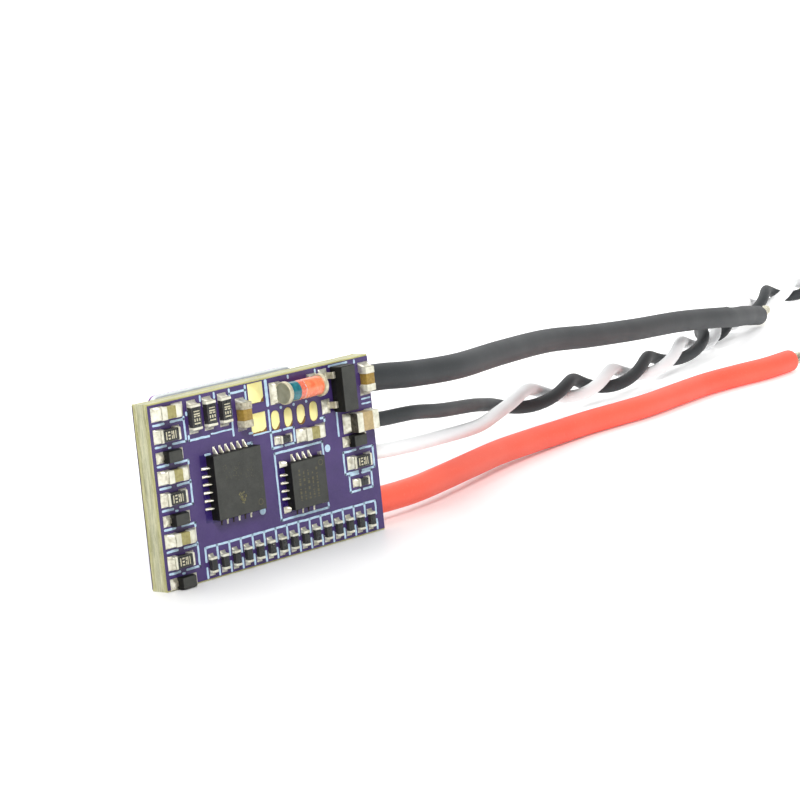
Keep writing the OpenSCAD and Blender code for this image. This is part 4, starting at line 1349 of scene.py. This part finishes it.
def mosfet(i):
    """A leadless power transistor: moulded block, four tinned lands on two sides and a drain tab."""
    at = (PLATE_MID[0] + (i % 3 - 1) * 4.0, PLATE_MID[1] + (i // 3 - 0.5) * 5.2)
    shape = Shape()
    turn = on_rear(at)
    half = MOSFET_W / 2
    body = half - 0.05
    # The sides are painted shade; only the top has the plain moulding.
    shape.block((-body, -body, 0.03), (body, body, MOSFET_T - 0.004), 0.03, "mould_painted_shade", turn, segments=1,
                top="mould")
    out = -1 if i < 3 else 1
    for k in range(4):
        u = (k - 1.5) * 0.65
        for side, half_land in ((out, 0.16), (-out, 0.2)):
            shape.block((u - half_land, side * (half - 0.3), 0.0), (u + half_land, side * half, 0.2), 0.02,
                        "tin", turn)
    shape.block((-1.15, -out * (half - 0.35), 0.0), (1.15, -out * (half - 0.06), 0.18), 0.02, "tin", turn)
    node = f"mosfet_{i + 1}"
    return shape.make(body_name(node), node, "moulding_compound")


for i in range(6):
    mosfet(i)


def slab(shape, w, h, low, high, r, edge, material, turn, skin=None, ragged=0.0, n=10):
    """A flat plate with round corners and bevelled edges. skin is for its outer bevel and face."""
    corners = []
    for cx, cy, start in ((1, 1, 0), (-1, 1, 90), (-1, -1, 180), (1, -1, 270)):
        for k in range(n + 1):
            a = math.radians(start + 90 * k / n)
            corners.append((Vector((cx * (w / 2 - r), cy * (h / 2 - r))), Vector((math.cos(a), math.sin(a)))))
    outline = []
    for (c0, d0), (c1, d1) in zip(corners, corners[1:] + corners[:1]):
        count = max(1, round((c1 - c0).length / 0.3))
        outline += [(c0.lerp(c1, i / count), d0.lerp(d1, i / count).normalized()) for i in range(count)]
    rings = []
    levels = [(low, edge), (low + edge, 0.0), (high - edge * 3, 0.0), (high - edge, 0.0), (high, edge)]
    for level, shrink in levels:
        points = []
        for centre, out in outline:
            p = centre + out * (r - shrink)
            p *= 1 - ragged * (1 + wobble(p.x * 2.1, p.y * 2.1, level * 3)) / max(w, h)
            points.append((p.x, p.y, level))
        rings.append(points)
    shape.loft(rings, material, turn, skins=[material] * 2 + [skin or material] * 2)


pad = Shape()
plate_turn, pad_top = on_rear(PLATE_MID), MOSFET_T + PAD_T
slab(pad, PAD_W, PAD_H, MOSFET_T, pad_top, 0.3, 0.02, "pad", plate_turn, ragged=0.06)
pad.make("thermal_pad_sheet", "thermal_pad", "thermal_pad")
plate = Shape()
slab(plate, PLATE_W, BOARD_H, pad_top, pad_top + PLATE_T, PLATE_R, 0.08, "plate_edge", plate_turn, "plate")
plate.make("heat_plate_body", "heat_plate", "anodised_plate")


def tinned_pads(name, node, places, size, height, seed):
    """Tinned copper pads with a low dome of solder."""
    shape = Shape()
    w, h = size
    for number, at in enumerate(places):
        def rise(u, v):
            edge = ease(min(w / 2 - abs(u), h / 2 - abs(v)) / 0.35)
            lumps = 0.9 + 0.25 * wobble(u * 1.2, v * 1.2, seed + number)
            return 0.003 + height * (0.25 + 0.75 * edge) * lumps
        shape.field((-w / 2, -h / 2), (w / 2, h / 2), (20, 20), rise, "solder", on_rear(at), foot=-MASK_T)
    return shape.make(name, node, "solder", smooth=60)


NEGATIVE_Z, POSITIVE_Z, GROUND_Z, SIGNAL_Z = 9.6, 1.6, 7.0, 4.9
PHASE_PAD, BATTERY_PAD, SIGNAL_PAD = (2.0, 2.6), (2.6, 2.2), (1.3, 1.2)
phase_at = [(1.2, 1.9 + 3.8 * i) for i in range(3)]
battery_at = [(16.9, z) for z in (POSITIVE_Z, NEGATIVE_Z)]
signal_at = [(17.4, z) for z in (SIGNAL_Z, GROUND_Z)]
tinned_pads("phase_pad_solder", "phase_pads", phase_at, PHASE_PAD, 0.05, 1.0)
tinned_pads("battery_pad_tin", "battery_pads", battery_at, BATTERY_PAD, 0.03, 5.0)
tinned_pads("signal_pad_tin", "signal_pads", signal_at, SIGNAL_PAD, 0.02, 9.0)


def soldered_end(shape, exit_x, z, length, width, height, strand_r, seed):
    """A mound of solder that has soaked a lead's strands and runs down to its pad."""
    turn = Matrix.Translation((0, REAR_Y, 0)) @ Matrix.Rotation(math.radians(-90), 4, "X")
    tail = exit_x - length - 0.15

    def rise(x, v):
        f = (x - tail) / (exit_x - tail)
        along_it = ease(f / 0.3) * (1 - 0.18 * ease((f - 0.75) / 0.25))
        q = abs(v + z) / (width / 2)
        across = math.exp(-(q * 1.05) ** 2) if q < 1 else math.exp(-1.1) * max(0.0, 1 - (q - 1) / 0.35)
        ribs = 1 + 0.03 * math.sin((v + z) * 22 + x * 3)
        return 0.01 + height * along_it * across * ribs * (1 + 0.08 * wobble(x * 1.7, v * 1.7, seed))

    half = width / 2 * 1.3
    shape.field((tail, -z - half), (exit_x - 0.02, -z + half), (26, 26), rise, "solder", turn)
    # The strands that run from the solder into the insulation: six round a middle one.
    t = Vector((1, 0, 0))
    start = Vector((exit_x - 0.35, REAR_Y + height * 0.55, z))
    for y, z in round_outline(0, 0, lambda a: strand_r * 2.0, 6) + [(0, 0)]:
        rings = [ring(start + Vector((0, y, z)) + t * (0.5 * i / 4), t, strand_r, 10) for i in range(5)]
        shape.loft(rings, "wire")


joints = Shape()
for z in (POSITIVE_Z, NEGATIVE_Z):
    soldered_end(joints, 8.4, z, 2.2, 1.7, 1.45, 0.16, z)
joints.make("battery_solder_mounds", "battery_joints", "solder", smooth=60)
small_joints = Shape()
for z in (SIGNAL_Z, GROUND_Z):
    soldered_end(small_joints, 8.0, z, 0.9, 1.0, 0.85, 0.08, z)
small_joints.make("signal_solder_mounds", "signal_joints", "solder", smooth=60)


# ---------------------------------------------------------------- CAD nodes that stay as they are

for node in ("front_solder_mask", "rear_solder_mask"):
    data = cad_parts[node].data
    data.materials.clear()
    data.materials.append(MAT["mask"])


# ---------------------------------------------------------------- floor and light

FLOOR_FRONT, FLOOR_BACK, FLOOR_HALF = -1500.0, 1500.0, 2500.0
SWEEP_R, WALL_H = 700.0, 2200.0
FLOOR_TURN = 45.0
GLOW_REACH = 200.0


def floor():
    """A pale sweep: floor, curve and wall behind. It gives off more light further from the object."""
    profile = [(FLOOR_FRONT, 0.0)] + [(FLOOR_BACK * k / 10, 0.0) for k in range(-8, 11)]
    steps = 24
    for k in range(1, steps + 1):
        a = math.pi / 2 * k / steps
        profile.append((FLOOR_BACK + SWEEP_R * math.sin(a), SWEEP_R * (1 - math.cos(a))))
    profile.append((FLOOR_BACK + SWEEP_R, WALL_H))
    turn = Matrix.Rotation(math.radians(-FLOOR_TURN), 3, "Z")
    points = [(turn @ Vector((side * FLOOR_HALF, y, z))) * MM for y, z in profile for side in (-1, 1)]
    faces = [[2 * k, 2 * k + 1, 2 * k + 3, 2 * k + 2] for k in range(len(profile) - 1)]
    mesh = bpy.data.meshes.new("floor")
    mesh.from_pydata(points, [], faces)
    mesh.shade_smooth()
    n = Nodes("floor", 0.42, specular=0.4)
    n.colour(n.ramp(n.noise(40.0), (0.3, srgb(250, 250, 250)), (0.7, srgb(254, 254, 254))))
    n.rough(n.spread(n.noise(8.0), 0.4, 0.46))
    n.shader.inputs["Emission Color"].default_value = (1, 1, 1, 1)
    reach = n.tree.nodes.new("ShaderNodeMapping")
    reach.inputs["Scale"].default_value = [1 / (GLOW_REACH * MM)] * 3
    n.link(n.place, reach.inputs["Vector"])
    nearness = n.tree.nodes.new("ShaderNodeTexGradient")
    nearness.gradient_type = "SPHERICAL"
    n.link(reach.outputs["Vector"], nearness.inputs["Vector"])
    n.link(n.spread(nearness.outputs["Fac"], 0.8, 0.0, 0.2, 0.92), n.shader.inputs["Emission Strength"])
    mesh.materials.append(n.material)
    thing = bpy.data.objects.new("floor", mesh)
    scene.collection.objects.link(thing)


floor()

world = bpy.data.worlds.new("studio")
world.use_nodes = True
background = world.node_tree.nodes["Background"]
background.inputs["Color"].default_value = (1, 1, 1, 1)
background.inputs["Strength"].default_value = 0.2
scene.world = world


def softbox(name, at_mm, target_mm, size_mm, power):
    data = bpy.data.lights.new(name, "AREA")
    data.shape = "RECTANGLE"
    data.size, data.size_y = (s * MM for s in size_mm)
    data.energy = power
    thing = bpy.data.objects.new(name, data)
    at, target = Vector(at_mm) * MM, Vector(target_mm) * MM
    thing.location = at
    thing.rotation_mode = "QUATERNION"
    thing.rotation_quaternion = (target - at).to_track_quat("-Z", "Y")
    scene.collection.objects.link(thing)


# Each light: its name, its place, what it points at, its size in mm and its power in watts.
softbox("key", (-210, -290, 330), (5, 5, 5), (170, 170), 1.9)
softbox("top", (60, 150, 420), (20, 10, 0), (380, 380), 1.3)
